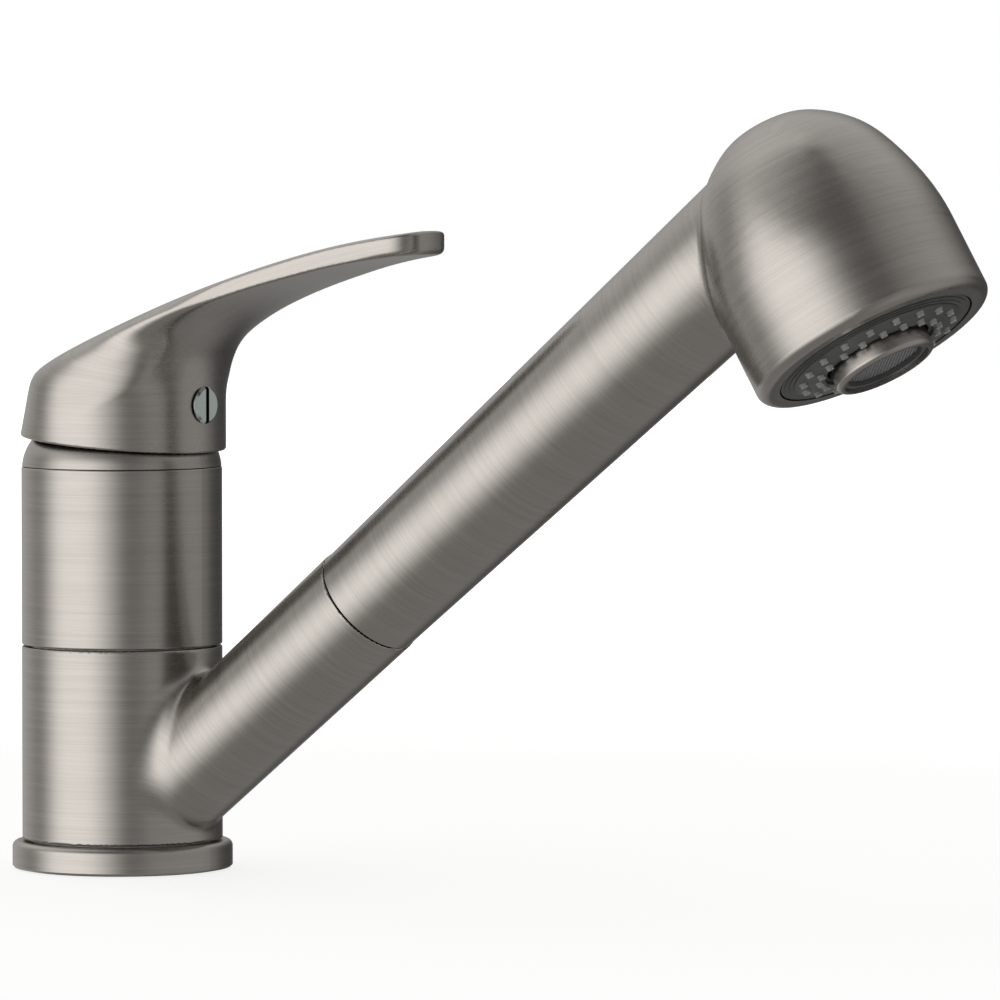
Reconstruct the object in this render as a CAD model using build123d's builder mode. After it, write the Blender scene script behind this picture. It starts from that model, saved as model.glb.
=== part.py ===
"""Single-lever deck mixer with a low swivelling spout and a pull-out spray handset docked in its end.

Millimetres, +Z up. The origin is on the column's axis, in the deck's top face. The spout and the lever
both point along +X, and the whole tap is symmetric about the plane Y = 0.
"""

from build123d import *
import math
import os

os.makedirs("parts", exist_ok=True)

# ---------------------------------------------------------------- fits and gaps
run_fit = 0.08  # radial play of a running fit
seat_fit = 0.10  # play of a piece seated in a recess of its own body
free_gap = 0.40  # air between surfaces that pass each other
seam_gap = 0.40  # open seam between two visible metal pieces

# ---------------------------------------------------------------- column
base_r = 27.5  # base ring
base_top_z = 7.0
base_edge_r = 1.6
foot_z = 0.3  # metal stands this far off the deck, on the gasket
gasket_r_in = 21.8
gasket_r_out = 25.4
gasket_h = 2.0

column_r = 25.0  # sleeve and barrel
barrel_z = 56.0  # underside of the fixed barrel, where the spout's sleeve ends
barrel_top_z = 100.25
barrel_edge_r = 0.4
neck_r = 22.0  # the barrel's neck, inside the dome cap
neck_top_z = 104.5
stem_r = 19.5  # hollow stem inside the spout's sleeve
stem_bore_r = 16.0
stem_bore_top_z = 58.0
spine_x = -6.5  # flat of the solid spine at the stem's back
window_x = -3.0  # the hose window cuts away all of the stem in front of this
window_z_low = 8.5
window_z_high = 46.0

stud_x = -12.5  # M8 fixing stud
stud_r = 4.0
stud_depth = 18.0

port_r = 4.5  # M10 x 1 ports for the supply hoses and the spray hose
port_depth = 6.0
port_way_r = 3.0
supply_port_x = 1.5
supply_port_y = 8.5
spray_port_x = 9.0

glide_flange_r = 22.9
glide_flange_h = 1.5
glide_wall = 0.95
upper_glide_skirt = 6.0
lower_glide_skirt = 1.4

# ---------------------------------------------------------------- cartridge
cavity_z = 66.0  # floor of the cartridge cavity
cartridge_r = 17.5
nut_r = 20.0  # thread of the cartridge nut
nut_bore_z = 90.0
housing_shoulder_z = 92.0
housing_neck_r = 13.3
housing_top_z = 101.0
housing_wall = 2.5
housing_roof = 2.5
cartridge_base_h = 5.0
disc_h = 4.0
fixed_disc_r = 14.7
moving_disc_r = 12.0
disc_offset = 2.2  # how far the moving disc stands behind the axis when the tap is shut
mixing_pocket_r = 8.0
mixing_pocket_h = 2.0
carrier_h = 7.0
rail_w = 2.0
rail_h = 1.6
rail_y = 8.0
rail_length = 14.0
seal_wall = 1.3
seal_h = 1.2
rotor_neck_r = 11.3
rotor_top_z = 102.5
nut_top_z = 104.3
nut_slot_w = 3.0
nut_slot_depth = 2.0
nut_slot_count = 6

pivot_z = 95.0  # the lever lifts about this line
pin_r = 2.0
stem_x = 9.0  # the lever stem's section
stem_y = 7.1
stem_top_z = 121.5
stem_low_z = 88.5
ball_r = 3.3
ball_arm = 10.0  # from the pivot down to the ball's centre
finger_r = 2.5
lift_deg = 25.0

# ---------------------------------------------------------------- dome cap
dome_hole_r = 18.0
dome_top_z = 109.0
dome_shoulder_r = 20.5
dome_shoulder_z = 108.8
dome_mid_r = 23.6
dome_mid_z = 105.0
dome_seam = 0.15
dome_wall = 1.4

# ---------------------------------------------------------------- lever handle
cap_r = 26.0  # round cap of the lever
rim_wall = 1.3
rim_front_z = 104.05
rim_rise = 0.090  # the rim climbs this much per millimetre towards the back
back_lean = 0.31  # the cap's back leans in this much per millimetre of height
flare_z = 118.0  # the cap's front starts to flare out into the lever here
lever_tip_x = 92.6
lever_tip_half_w = 10.1
lever_tip_corner_r = 4.0
lever_tip_bulge_r = 45.0
lever_edge_r = 1.0
underside = [(27.0, 126.7), (35.3, 136.3), (51.0, 144.0), (66.0, 148.6), (74.0, 150.8), (84.0, 152.9), (96.0, 154.9)]
topside = [(-32.0, 111.2), (-12.5, 120.7), (0.0, 127.5), (24.0, 138.7), (54.0, 149.8), (78.0, 156.6), (96.0, 159.8)]
cavity_roof = [(-28.0, 110.9), (-6.0, 120.0), (30.0, 121.4)]
boss_r = 8.5
boss_low_z = 111.0
web_w = 12.0
socket_fit = 0.06
plug_z = 116.0
plug_r = 4.6
plug_proud = 0.9
plug_shank_r = 3.4
plug_shank = 4.0
plug_slot_w = 1.3
plug_slot_depth = 0.6
set_screw_r = 2.5  # M5
set_screw_length = 10.0
set_screw_hex = 2.5

# ---------------------------------------------------------------- spout
dock_x = 76.37  # centre of the spout's open end, where the handset docks
dock_z = 69.43
spout_rise_deg = 38.5
spout_r_low = 14.1
spout_r_dock = 14.85
spout_cone_length = 80.0
spout_bore_r = 11.9
spout_blend_r = 3.0
sleeve_bore_r = stem_r + run_fit + glide_wall + run_fit

bush_wall = 1.5
bush_length = 27.0
bush_r_out = 12.6
key_w = 2.4
key_h = 0.8

# ---------------------------------------------------------------- spray handset
grip_r_dock = 14.6
grip_r_head = 17.15
grip_length = 152.0
grip_mouth_r = 12.7
grip_bore_r_dock = 12.0
grip_bore_r_head = 14.5
grip_bore_length = 150.0
shell_wall = 2.2
head_x = 221.6  # centre of the spray face
head_z = 133.1
head_tilt_deg = 31.0  # the face's normal leans this far outwards from straight down
head_r = 29.7
rim_edge_r = 2.4
head_straight = 20.0
head_outline = [(28.3, 32.0), (25.9, 40.0), (20.8, 50.0), (12.9, 56.9)]
head_height = 59.1
head_blend_r = 3.0
face_r = 24.7  # opening of the shell at the spray face
face_lip = 4.0
ledge_r = 22.9  # ledge in the shell that the spray chamber stands against
ledge_h = 1.8

spigot_r = bush_r_out - bush_wall - run_fit
spigot_length = 24.0
spigot_lead = 0.8
hose_thread_r = 7.0  # M15 x 1
hose_thread_depth = 12.0
washer_groove = 0.5  # the thread's run-out, round the washer
connector_flange_h = 6.0
connector_neck = 12.0
connector_way_r = 4.2
valve_r = 6.3
valve_h = 8.0
valve_wall = 1.6
valve_arm_w = 1.2
poppet_r = 3.9
washer_h = 1.6

waterway_r = 8.0
waterway_wall = 1.6
waterway_start = 8.0

plate_crown = 1.8  # the plate's middle stands this far out of the spray face
plate_slope = 0.165  # it falls back by this much per millimetre of radius
plate_edge_recess = 0.2
plate_h = 3.0
plate_bore_r = 13.1
plate_step_radii = [23.4, 22.3, 21.2]
plate_step = 0.25
moat_r = 14.0  # ring sunk between the nozzles and the collar
moat_depth = 0.8
nozzle_rows = [(15.3, 0.0), (19.2, 0.5)]  # radius, stagger in pitches
nozzle_count = 18
nozzle_hole_r = 1.15
nozzle_r = 1.05
nozzle_tip_r = 0.85
nozzle_way_r = 0.35
nozzle_proud = 0.8
mat_h = 1.4

chamber_r = 24.2
chamber_wall = 2.0
chamber_h = 12.0
chamber_inlet_r = 6.2
core_r_out = 14.6  # ring that presses the nozzle mat down round the collar
core_wall = 0.95
core_floor_h = 1.4
core_depth = 3.2
socket_wall = 2.0
socket_h = 5.0
inlet_seal_h = 1.0

collar_r = 12.4
collar_proud = 5.8
collar_edge_r = 1.0
collar_wall = 1.6
collar_flange_r = 13.5
collar_flange_h = 1.0
collar_web_h = 3.0
collar_stroke = 3.0
spool_r = 6.6
spool_bore_r = 4.0
spool_spigot_r = 5.0
seal_section = 0.9
aerator_recess = 1.0
aerator_rim = 1.2
aerator_step = 0.9
aerator_floor_h = 1.6
aerator_hole_r = 0.9
mesh_depth = 1.0
mesh_h = 0.5

# ---------------------------------------------------------------- axes worked out from the sizes
rise = math.radians(spout_rise_deg)
tilt = math.radians(head_tilt_deg)
spout_dir = Vector(math.cos(rise), 0, math.sin(rise))
face_dir = Vector(math.sin(tilt), 0, -math.cos(tilt))
dock = Vector(dock_x, 0, dock_z)
face = Vector(head_x, 0, head_z)
into_head = face_dir * -1


def profile_plane(origin, direction):
    """Sketch plane in which X is the radius and Y runs along a direction that lies in the plane Y = 0."""
    return Plane(origin=origin, x_dir=(0, 1, 0), z_dir=(direction.Z, 0, -direction.X))


def cross_plane(origin, direction, height=0.0):
    """Sketch plane square to a direction, a height along it, with its X across the tap."""
    return Plane(origin=origin + direction * height, x_dir=(0, 1, 0), z_dir=direction)


column_profile = Plane.XZ
column_axis = Axis.Z
spout_profile = profile_plane(dock, spout_dir)
spout_axis = Axis(dock, spout_dir)
head_profile = profile_plane(face, into_head)
head_axis = Axis(face, into_head)


def turned(outline, plane, axis, mode=Mode.ADD):
    """Turn a closed outline of (radius, height) points about an axis, inside the part that is open."""
    with BuildSketch(plane) as section:
        with BuildLine():
            Polyline(*outline, close=True)
        make_face()
    revolve(section.sketch, axis=axis, mode=mode)


def ring(r_in, r_out, low, high):
    """Outline of a plain ring or, with r_in of 0, of a cylinder."""
    return [(r_in, low), (r_out, low), (r_out, high), (r_in, high)]


def save(part, name):
    """Label a finished piece and write it."""
    part.label = name
    export_step(part, f"parts/{name}.step")


# ================================================================ column
groove_top = foot_z + gasket_h

with BuildPart() as base_ring:
    turned(ring(stem_r + seat_fit, base_r, foot_z, base_top_z), column_profile, column_axis)
    rims = base_ring.edges().filter_by(GeomType.CIRCLE).filter_by(lambda e: abs(e.radius - base_r) < 0.01)
    fillet(rims.sort_by(Axis.Z)[-1], base_edge_r)
    low_rim = base_ring.edges().filter_by(GeomType.CIRCLE).filter_by(lambda e: abs(e.radius - base_r) < 0.01)
    chamfer(low_rim.sort_by(Axis.Z)[0], 0.5)
    turned(
        ring(gasket_r_in - seat_fit, gasket_r_out + seat_fit, foot_z, groove_top),
        column_profile,
        column_axis,
        Mode.SUBTRACT,
    )
save(base_ring.part, "base_ring")

with BuildPart() as base_gasket:
    turned(ring(gasket_r_in, gasket_r_out, 0, groove_top), column_profile, column_axis)
save(base_gasket.part, "base_gasket")

with BuildPart() as fixed_body:
    body_outline = [
        (0, foot_z),
        (stem_r, foot_z),
        (stem_r, barrel_z),
        (column_r, barrel_z),
        (column_r, barrel_top_z),
        (neck_r, barrel_top_z),
        (neck_r, neck_top_z),
        (0, neck_top_z),
    ]
    turned(body_outline, column_profile, column_axis)
    seam_edges = fixed_body.edges().filter_by(GeomType.CIRCLE).filter_by(lambda e: abs(e.radius - column_r) < 0.01)
    fillet(seam_edges, barrel_edge_r)
    # cartridge cavity with the thread of its nut
    cavity_outline = [
        (0, cavity_z),
        (cartridge_r + seat_fit, cavity_z),
        (cartridge_r + seat_fit, nut_bore_z),
        (nut_r, nut_bore_z),
        (nut_r, neck_top_z),
        (0, neck_top_z),
    ]
    turned(cavity_outline, column_profile, column_axis, Mode.SUBTRACT)
    # hose passage, with the spine left solid at the back
    with BuildSketch(Plane.XY.offset(foot_z)):
        Circle(stem_bore_r)
        with Locations((spine_x, 0)):
            Rectangle(2 * stem_bore_r, 2 * stem_bore_r, align=(Align.MAX, Align.CENTER), mode=Mode.SUBTRACT)
    extrude(amount=stem_bore_top_z - foot_z, mode=Mode.SUBTRACT)
    # window for the spray hose, open over the whole swing of the spout
    with BuildSketch(Plane.XY.offset(window_z_low)):
        with Locations((window_x, 0)):
            Rectangle(2 * stem_r, 2.2 * stem_r, align=(Align.MIN, Align.CENTER))
    extrude(amount=window_z_high - window_z_low, mode=Mode.SUBTRACT)
    # ports in the roof of the passage
    with BuildSketch(Plane.XY.offset(stem_bore_top_z)):
        with Locations((supply_port_x, supply_port_y), (supply_port_x, -supply_port_y), (spray_port_x, 0)):
            Circle(port_r)
    extrude(amount=port_depth, mode=Mode.SUBTRACT)
    with BuildSketch(Plane.XY.offset(stem_bore_top_z)):
        with Locations((supply_port_x, supply_port_y), (supply_port_x, -supply_port_y), (spray_port_x, 0)):
            Circle(port_way_r)
    extrude(amount=cavity_z - stem_bore_top_z, mode=Mode.SUBTRACT)
    # stud hole in the spine
    with BuildSketch(Plane.XY.offset(foot_z)):
        with Locations((stud_x, 0)):
            Circle(stud_r)
    extrude(amount=stud_depth, mode=Mode.SUBTRACT)
save(fixed_body.part, "fixed_body")

glide_r_in = stem_r + run_fit
glide_r_out = glide_r_in + glide_wall
upper_flange_z = barrel_z - glide_flange_h
lower_flange_z = base_top_z + glide_flange_h

with BuildPart() as upper_glide_ring:
    upper_outline = [
        (glide_r_in, upper_flange_z - upper_glide_skirt),
        (glide_r_out, upper_flange_z - upper_glide_skirt),
        (glide_r_out, upper_flange_z),
        (glide_flange_r, upper_flange_z),
        (glide_flange_r, barrel_z),
        (glide_r_in, barrel_z),
    ]
    turned(upper_outline, column_profile, column_axis)
save(upper_glide_ring.part, "upper_glide_ring")

with BuildPart() as lower_glide_ring:
    lower_outline = [
        (glide_r_in, base_top_z),
        (glide_flange_r, base_top_z),
        (glide_flange_r, lower_flange_z),
        (glide_r_out, lower_flange_z),
        (glide_r_out, lower_flange_z + lower_glide_skirt),
        (glide_r_in, lower_flange_z + lower_glide_skirt),
    ]
    turned(lower_outline, column_profile, column_axis)
save(lower_glide_ring.part, "lower_glide_ring")

with BuildPart() as dome_cap:
    dome_low_z = barrel_top_z + dome_seam
    with BuildSketch(Plane.XZ) as dome_section:
        with BuildLine():
            Polyline(
                (dome_hole_r, dome_top_z),
                (dome_hole_r, dome_top_z - dome_wall),
                (dome_shoulder_r - dome_wall, dome_top_z - dome_wall),
                (neck_r + seat_fit, neck_top_z + seat_fit),
                (neck_r + seat_fit, dome_low_z),
                (column_r - dome_seam, dome_low_z),
            )
            ThreePointArc((column_r - dome_seam, dome_low_z), (dome_mid_r, dome_mid_z), (dome_shoulder_r, dome_shoulder_z))
            Line((dome_shoulder_r, dome_shoulder_z), (dome_hole_r, dome_top_z))
        make_face()
    revolve(dome_section.sketch, axis=column_axis)
save(dome_cap.part, "dome_cap")

# ================================================================ mixing cartridge
ports = [(supply_port_x, supply_port_y), (supply_port_x, -supply_port_y), (spray_port_x, 0)]
base_top = cavity_z + cartridge_base_h
fixed_top = base_top + disc_h
moving_low = fixed_top + 0.05
moving_top = moving_low + disc_h
carrier_low = moving_top
carrier_top = carrier_low + carrier_h
rotor_low = carrier_top + 0.2
housing_roof_z = housing_shoulder_z - housing_roof

with BuildPart() as cartridge_base:
    turned(ring(0, cartridge_r, cavity_z, base_top), column_profile, column_axis)
    with BuildSketch(Plane.XY.offset(cavity_z)):
        with Locations(*ports):
            Circle(port_way_r)
    extrude(amount=cartridge_base_h, mode=Mode.SUBTRACT)
    with BuildSketch(Plane.XY.offset(cavity_z)):
        with Locations(*ports):
            Circle(port_way_r + seal_wall)
    extrude(amount=seal_h, mode=Mode.SUBTRACT)
save(cartridge_base.part, "cartridge_base")

with BuildPart() as port_seals:
    with BuildSketch(Plane.XY.offset(cavity_z)):
        with Locations(*ports):
            Circle(port_way_r + seal_wall)
            Circle(port_way_r, mode=Mode.SUBTRACT)
    extrude(amount=seal_h)
save(port_seals.part, "port_seals")

with BuildPart() as fixed_disc:
    turned(ring(0, fixed_disc_r, base_top, fixed_top), column_profile, column_axis)
    with BuildSketch(Plane.XY.offset(base_top)):
        with Locations(*ports):
            Circle(port_way_r)
    extrude(amount=disc_h, mode=Mode.SUBTRACT)
save(fixed_disc.part, "fixed_disc")

with BuildPart() as cartridge_housing:
    inner_r = cartridge_r - housing_wall
    housing_outline = [
        (inner_r, base_top),
        (cartridge_r, base_top),
        (cartridge_r, housing_shoulder_z),
        (housing_neck_r, housing_shoulder_z),
        (housing_neck_r, housing_top_z),
        (rotor_neck_r + run_fit, housing_top_z),
        (rotor_neck_r + run_fit, housing_roof_z),
        (inner_r, housing_roof_z),
    ]
    turned(housing_outline, column_profile, column_axis)
save(cartridge_housing.part, "cartridge_housing")

with BuildPart() as cartridge_nut:
    nut_outline = [
        (housing_neck_r + seat_fit, housing_shoulder_z),
        (nut_r - seat_fit, housing_shoulder_z),
        (nut_r - seat_fit, nut_top_z),
        (housing_neck_r + seat_fit, nut_top_z),
    ]
    turned(nut_outline, column_profile, column_axis)
    with BuildSketch(Plane.XY.offset(nut_top_z)):
        with PolarLocations((nut_r + housing_neck_r) / 2, nut_slot_count):
            Rectangle(nut_r, nut_slot_w)
    extrude(amount=-nut_slot_depth, mode=Mode.SUBTRACT)
save(cartridge_nut.part, "cartridge_nut")

with BuildPart() as moving_disc:
    with BuildSketch(Plane.XY.offset(moving_low)):
        with Locations((-disc_offset, 0)):
            Circle(moving_disc_r)
    extrude(amount=disc_h)
    with BuildSketch(Plane.XY.offset(moving_low)):
        with Locations((-disc_offset, 0)):
            Circle(mixing_pocket_r)
    extrude(amount=mixing_pocket_h, mode=Mode.SUBTRACT)
save(moving_disc.part, "moving_disc")

ball_z = pivot_z - ball_arm

with BuildPart() as disc_carrier:
    with BuildSketch(Plane.XY.offset(carrier_low)):
        with Locations((-disc_offset, 0)):
            Circle(moving_disc_r)
    extrude(amount=carrier_h)
    with BuildSketch(Plane.XY.offset(carrier_top)):
        with Locations((-disc_offset, rail_y), (-disc_offset, -rail_y)):
            Rectangle(rail_length, rail_w)
    extrude(amount=rail_h)
    # socket for the ball on the lever stem, a little longer than the ball along its swing
    with BuildSketch(Plane.XY.offset(ball_z - ball_r - free_gap)):
        SlotOverall(2 * ball_r + 4 * free_gap, 2 * (ball_r + seat_fit))
    extrude(amount=carrier_h, mode=Mode.SUBTRACT)
save(disc_carrier.part, "disc_carrier")

swing_half = stem_x / 2 + ball_arm * math.tan(math.radians(lift_deg)) + free_gap

with BuildPart() as cartridge_rotor:
    rotor_outline = [
        (0, rotor_low),
        (inner_r - 2 * run_fit, rotor_low),
        (inner_r - 2 * run_fit, housing_roof_z - run_fit),
        (rotor_neck_r, housing_roof_z - run_fit),
        (rotor_neck_r, rotor_top_z),
        (0, rotor_top_z),
    ]
    turned(rotor_outline, column_profile, column_axis)
    with BuildSketch(Plane.XY.offset(rotor_low)):
        Rectangle(2 * swing_half, stem_y + 2 * run_fit)
    extrude(amount=rotor_top_z - rotor_low, mode=Mode.SUBTRACT)
    with BuildSketch(Plane.XY.offset(rotor_low)):
        with Locations((0, rail_y), (0, -rail_y)):
            Rectangle(2 * inner_r, rail_w + 2 * seat_fit)
    extrude(amount=rail_h + seat_fit, mode=Mode.SUBTRACT)
    with BuildSketch(Plane.XZ):
        with Locations((0, pivot_z)):
            Circle(pin_r)
    extrude(amount=2 * rotor_neck_r, both=True, mode=Mode.SUBTRACT)
save(cartridge_rotor.part, "cartridge_rotor")

with BuildPart() as hinge_pin:
    with BuildSketch(Plane.XZ):
        with Locations((0, pivot_z)):
            Circle(pin_r)
    extrude(amount=math.sqrt(rotor_neck_r**2 - pin_r**2) - free_gap, both=True)
save(hinge_pin.part, "hinge_pin")

with BuildPart() as lever_stem:
    with BuildSketch(Plane.XY.offset(stem_low_z)):
        Rectangle(stem_x, stem_y)
    extrude(amount=stem_top_z - stem_low_z)
    with Locations((0, 0, ball_z)):
        Sphere(ball_r)
    with BuildSketch(Plane.XY.offset(ball_z)):
        Circle(finger_r)
    extrude(amount=stem_low_z - ball_z)
    with BuildSketch(Plane.XZ):
        with Locations((0, pivot_z)):
            Circle(pin_r + run_fit)
    extrude(amount=stem_y, both=True, mode=Mode.SUBTRACT)
save(lever_stem.part, "lever_stem")

# ================================================================ lever handle
rim_slope_back_z = rim_front_z + rim_rise * 2 * cap_r
hull_low_z = rim_front_z
hull_high_z = topside[2][1] + 4.0
back_depth_low = cap_r
back_depth_high = cap_r - back_lean * (hull_high_z - hull_low_z)

with BuildPart() as lever_handle:
    # front half: the flare turned about the column's axis
    with BuildSketch(Plane.XZ) as flare_section:
        with BuildLine():
            Polyline((0, flare_z), (0, hull_low_z), (cap_r, hull_low_z), (cap_r, flare_z))
            flare = Spline((cap_r, flare_z), *underside, tangents=[(0, 1), (1, 0.14)])
            Polyline(flare @ 1, (underside[-1][0], topside[-1][1] + 5), (0, topside[-1][1] + 5), (0, flare_z))
        make_face()
    revolve(flare_section.sketch, axis=column_axis)
    # plan of the lever: the round cap running out into the tip
    with BuildSketch(Plane.XY.offset(hull_low_z)) as plan:
        Circle(cap_r)
        with Locations((lever_tip_x - cap_r / 2, 0)):
            RectangleRounded(cap_r, 2 * lever_tip_half_w, lever_tip_corner_r)
        make_hull()
    extrude(plan.sketch, amount=80, mode=Mode.INTERSECT)
    with BuildSketch(Plane.XY.offset(hull_low_z)) as tip_end:
        with Locations((lever_tip_x - lever_tip_bulge_r, 0)):
            Circle(lever_tip_bulge_r)
        Rectangle(2 * lever_tip_bulge_r, 2 * lever_tip_bulge_r)
    extrude(tip_end.sketch, amount=80, mode=Mode.INTERSECT)
    split(bisect_by=Plane.YZ, keep=Keep.TOP)
    # back half: a cap whose back leans in as it rises
    with BuildSketch(Plane.XY.offset(hull_low_z)) as cap_low:
        Circle(cap_r)
        split(bisect_by=Plane.YZ, keep=Keep.BOTTOM)
    with BuildSketch(Plane.XY.offset(hull_high_z)) as cap_high:
        Ellipse(back_depth_high, cap_r)
        split(bisect_by=Plane.YZ, keep=Keep.BOTTOM)
    loft([cap_low.sketch, cap_high.sketch], ruled=True)
    # side view: what lies under the top line and over the tilted rim
    with BuildSketch(Plane.XZ) as side:
        with BuildLine():
            crest = Spline(*topside)
            Polyline(
                crest @ 1,
                (topside[-1][0], hull_low_z - 10),
                (cap_r + 1, hull_low_z - 10),
                (cap_r + 1, rim_front_z - rim_rise),
                (topside[0][0], rim_front_z + rim_rise * (cap_r - topside[0][0])),
                crest @ 0,
            )
        make_face()
    extrude(side.sketch, amount=2 * cap_r, both=True, mode=Mode.INTERSECT)
    # soften the outline of the top
    crest_edges = lever_handle.faces().sort_by(Axis.Z)[-1].edges()
    fillet(crest_edges, lever_edge_r)
    # hollow of the cap, round the boss for the stem and the web for its screw
    with BuildSketch(Plane.XZ) as hollow_side:
        with BuildLine():
            Polyline(
                (cavity_roof[0][0], hull_low_z - 5),
                *cavity_roof,
                (cavity_roof[-1][0], hull_low_z - 5),
                close=True,
            )
        make_face()
    with BuildSketch(Plane.XY.offset(hull_low_z - 5)) as hollow_front:
        Circle(cap_r - rim_wall)
        split(bisect_by=Plane.YZ, keep=Keep.TOP)
    with BuildSketch(Plane.XY.offset(hull_low_z)) as hollow_low:
        Circle(cap_r - rim_wall)
        split(bisect_by=Plane.YZ, keep=Keep.BOTTOM)
    with BuildSketch(Plane.XY.offset(hull_high_z)) as hollow_high:
        Ellipse(back_depth_high - rim_wall, cap_r - rim_wall)
        split(bisect_by=Plane.YZ, keep=Keep.BOTTOM)
    hollow = extrude(hollow_front.sketch, amount=40, mode=Mode.PRIVATE)
    hollow += loft([hollow_low.sketch, hollow_high.sketch], ruled=True, mode=Mode.PRIVATE)
    hollow &= extrude(hollow_side.sketch, amount=cap_r, both=True, mode=Mode.PRIVATE)
    with BuildSketch(Plane.XY.offset(boss_low_z)) as core_plan:
        Circle(boss_r)
        with Locations((cap_r / 2, 0)):
            Rectangle(cap_r, web_w)
    hollow -= extrude(core_plan.sketch, amount=40, mode=Mode.PRIVATE)
    add(hollow, mode=Mode.SUBTRACT)
    with BuildSketch(Plane.XY.offset(boss_low_z)) as socket:
        Rectangle(stem_x + 2 * socket_fit, stem_y + 2 * socket_fit)
    extrude(socket.sketch, amount=stem_top_z + seat_fit - boss_low_z, mode=Mode.SUBTRACT)
    # hole for the set screw, and the seat of the plug that closes it
    with BuildSketch(Plane.YZ) as screw_hole:
        with Locations((0, plug_z)):
            Circle(set_screw_r)
    extrude(screw_hole.sketch, amount=cap_r + 5, mode=Mode.SUBTRACT)
    with BuildSketch(Plane.YZ.offset(cap_r - plug_shank - seat_fit)) as plug_hole:
        with Locations((0, plug_z)):
            Circle(plug_shank_r)
    extrude(plug_hole.sketch, amount=cap_r, mode=Mode.SUBTRACT)
save(lever_handle.part, "lever_handle")

screw_start_x = stem_x / 2 + socket_fit

with BuildPart() as set_screw:
    with BuildSketch(Plane.YZ.offset(screw_start_x)):
        with Locations((0, plug_z)):
            Circle(set_screw_r)
    extrude(amount=set_screw_length)
    with BuildSketch(Plane.YZ.offset(screw_start_x + set_screw_length)):
        with Locations((0, plug_z)):
            RegularPolygon(set_screw_hex / 2, 6, major_radius=False)
    extrude(amount=-set_screw_length / 3, mode=Mode.SUBTRACT)
save(set_screw.part, "set_screw")

plug_profile = Plane(origin=(cap_r, 0, plug_z), x_dir=(0, 1, 0), z_dir=(0, 0, -1))
plug_axis = Axis((cap_r, 0, plug_z), (1, 0, 0))

with BuildPart() as screw_plug:
    plug_outline = [
        (0, -plug_shank),
        (plug_shank_r, -plug_shank),
        (plug_shank_r, seat_fit),
        (plug_r, seat_fit),
        (plug_r, plug_proud - 0.5),
        (plug_r - 0.6, plug_proud),
        (0, plug_proud),
    ]
    turned(plug_outline, plug_profile, plug_axis)
    with BuildSketch(Plane.YZ.offset(cap_r + plug_proud)):
        with Locations((0, plug_z)):
            Rectangle(plug_slot_w, 3 * plug_r)
    extrude(amount=-plug_slot_depth, mode=Mode.SUBTRACT)
save(screw_plug.part, "screw_plug")

# ================================================================ spout
sleeve_low_z = base_top_z + seam_gap
sleeve_high_z = barrel_z - seam_gap

with BuildPart() as spout_body:
    turned(ring(0, column_r, sleeve_low_z, sleeve_high_z), column_profile, column_axis)
    slope = (spout_r_dock - spout_r_low) / spout_cone_length
    tube_outline = [
        (0, -dock_x / spout_dir.X),
        (spout_r_low, -dock_x / spout_dir.X),
        (spout_r_low, -spout_cone_length),
        (spout_r_dock, -seam_gap / 2),
        (0, -seam_gap / 2),
    ]
    turned(tube_outline, spout_profile, spout_axis)
    # nothing of the tube shows on the far side of the sleeve
    with BuildSketch(Plane.XY.offset(sleeve_low_z)) as far_side:
        Rectangle(200, 200)
        Circle(column_r, mode=Mode.SUBTRACT)
        with Locations((0, 0)):
            Rectangle(200, 200, align=(Align.MIN, Align.CENTER), mode=Mode.SUBTRACT)
    extrude(far_side.sketch, amount=sleeve_high_z, mode=Mode.SUBTRACT)
    with BuildSketch(Plane.XY.offset(sleeve_low_z)) as below:
        Rectangle(200, 200)
    extrude(below.sketch, amount=-40, mode=Mode.SUBTRACT)
    blend_edges = spout_body.edges().filter_by(lambda e: e.geom_type not in (GeomType.CIRCLE, GeomType.LINE))
    fillet(blend_edges, spout_blend_r)
    # bore of the sleeve, with the seats of its two glide rings
    sleeve_bore = [
        (0, sleeve_low_z),
        (glide_flange_r + seat_fit, sleeve_low_z),
        (glide_flange_r + seat_fit, lower_flange_z + run_fit),
        (sleeve_bore_r, lower_flange_z + run_fit),
        (sleeve_bore_r, upper_flange_z - run_fit),
        (glide_flange_r + seat_fit, upper_flange_z - run_fit),
        (glide_flange_r + seat_fit, sleeve_high_z),
        (0, sleeve_high_z),
    ]
    turned(sleeve_bore, column_profile, column_axis, Mode.SUBTRACT)
    tube_bore = [
        (0, -dock_x / spout_dir.X),
        (spout_bore_r, -dock_x / spout_dir.X),
        (spout_bore_r, -bush_length - seat_fit),
        (bush_r_out + seat_fit, -bush_length - seat_fit),
        (bush_r_out + seat_fit, 0),
        (0, 0),
    ]
    turned(tube_bore, spout_profile, spout_axis, Mode.SUBTRACT)
save(spout_body.part, "spout_body")

bush_r_in = bush_r_out - bush_wall
bush_low = -bush_length
bush_high = -seam_gap / 2 - seat_fit

with BuildPart() as dock_bush:
    turned(ring(bush_r_in, bush_r_out, bush_low, bush_high), spout_profile, spout_axis)
    # keyway that holds the handset's face square to the sink
    with BuildSketch(cross_plane(dock, spout_dir, bush_low)) as keyway:
        with Locations((0, bush_r_in)):
            Rectangle(key_w + 2 * run_fit, 2 * (key_h + run_fit))
    extrude(keyway.sketch, amount=bush_length, mode=Mode.SUBTRACT)
save(dock_bush.part, "dock_bush")

# ================================================================ spray handset
grip_low = seam_gap / 2
plate_high = plate_edge_recess + plate_h
mat_high = plate_high + mat_h
chamber_high = mat_high + chamber_h
ledge_low = chamber_high
head_inner_r = head_r - shell_wall
inner_head_height = head_height - shell_wall
guide_ring_low = chamber_high - 4.0

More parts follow.
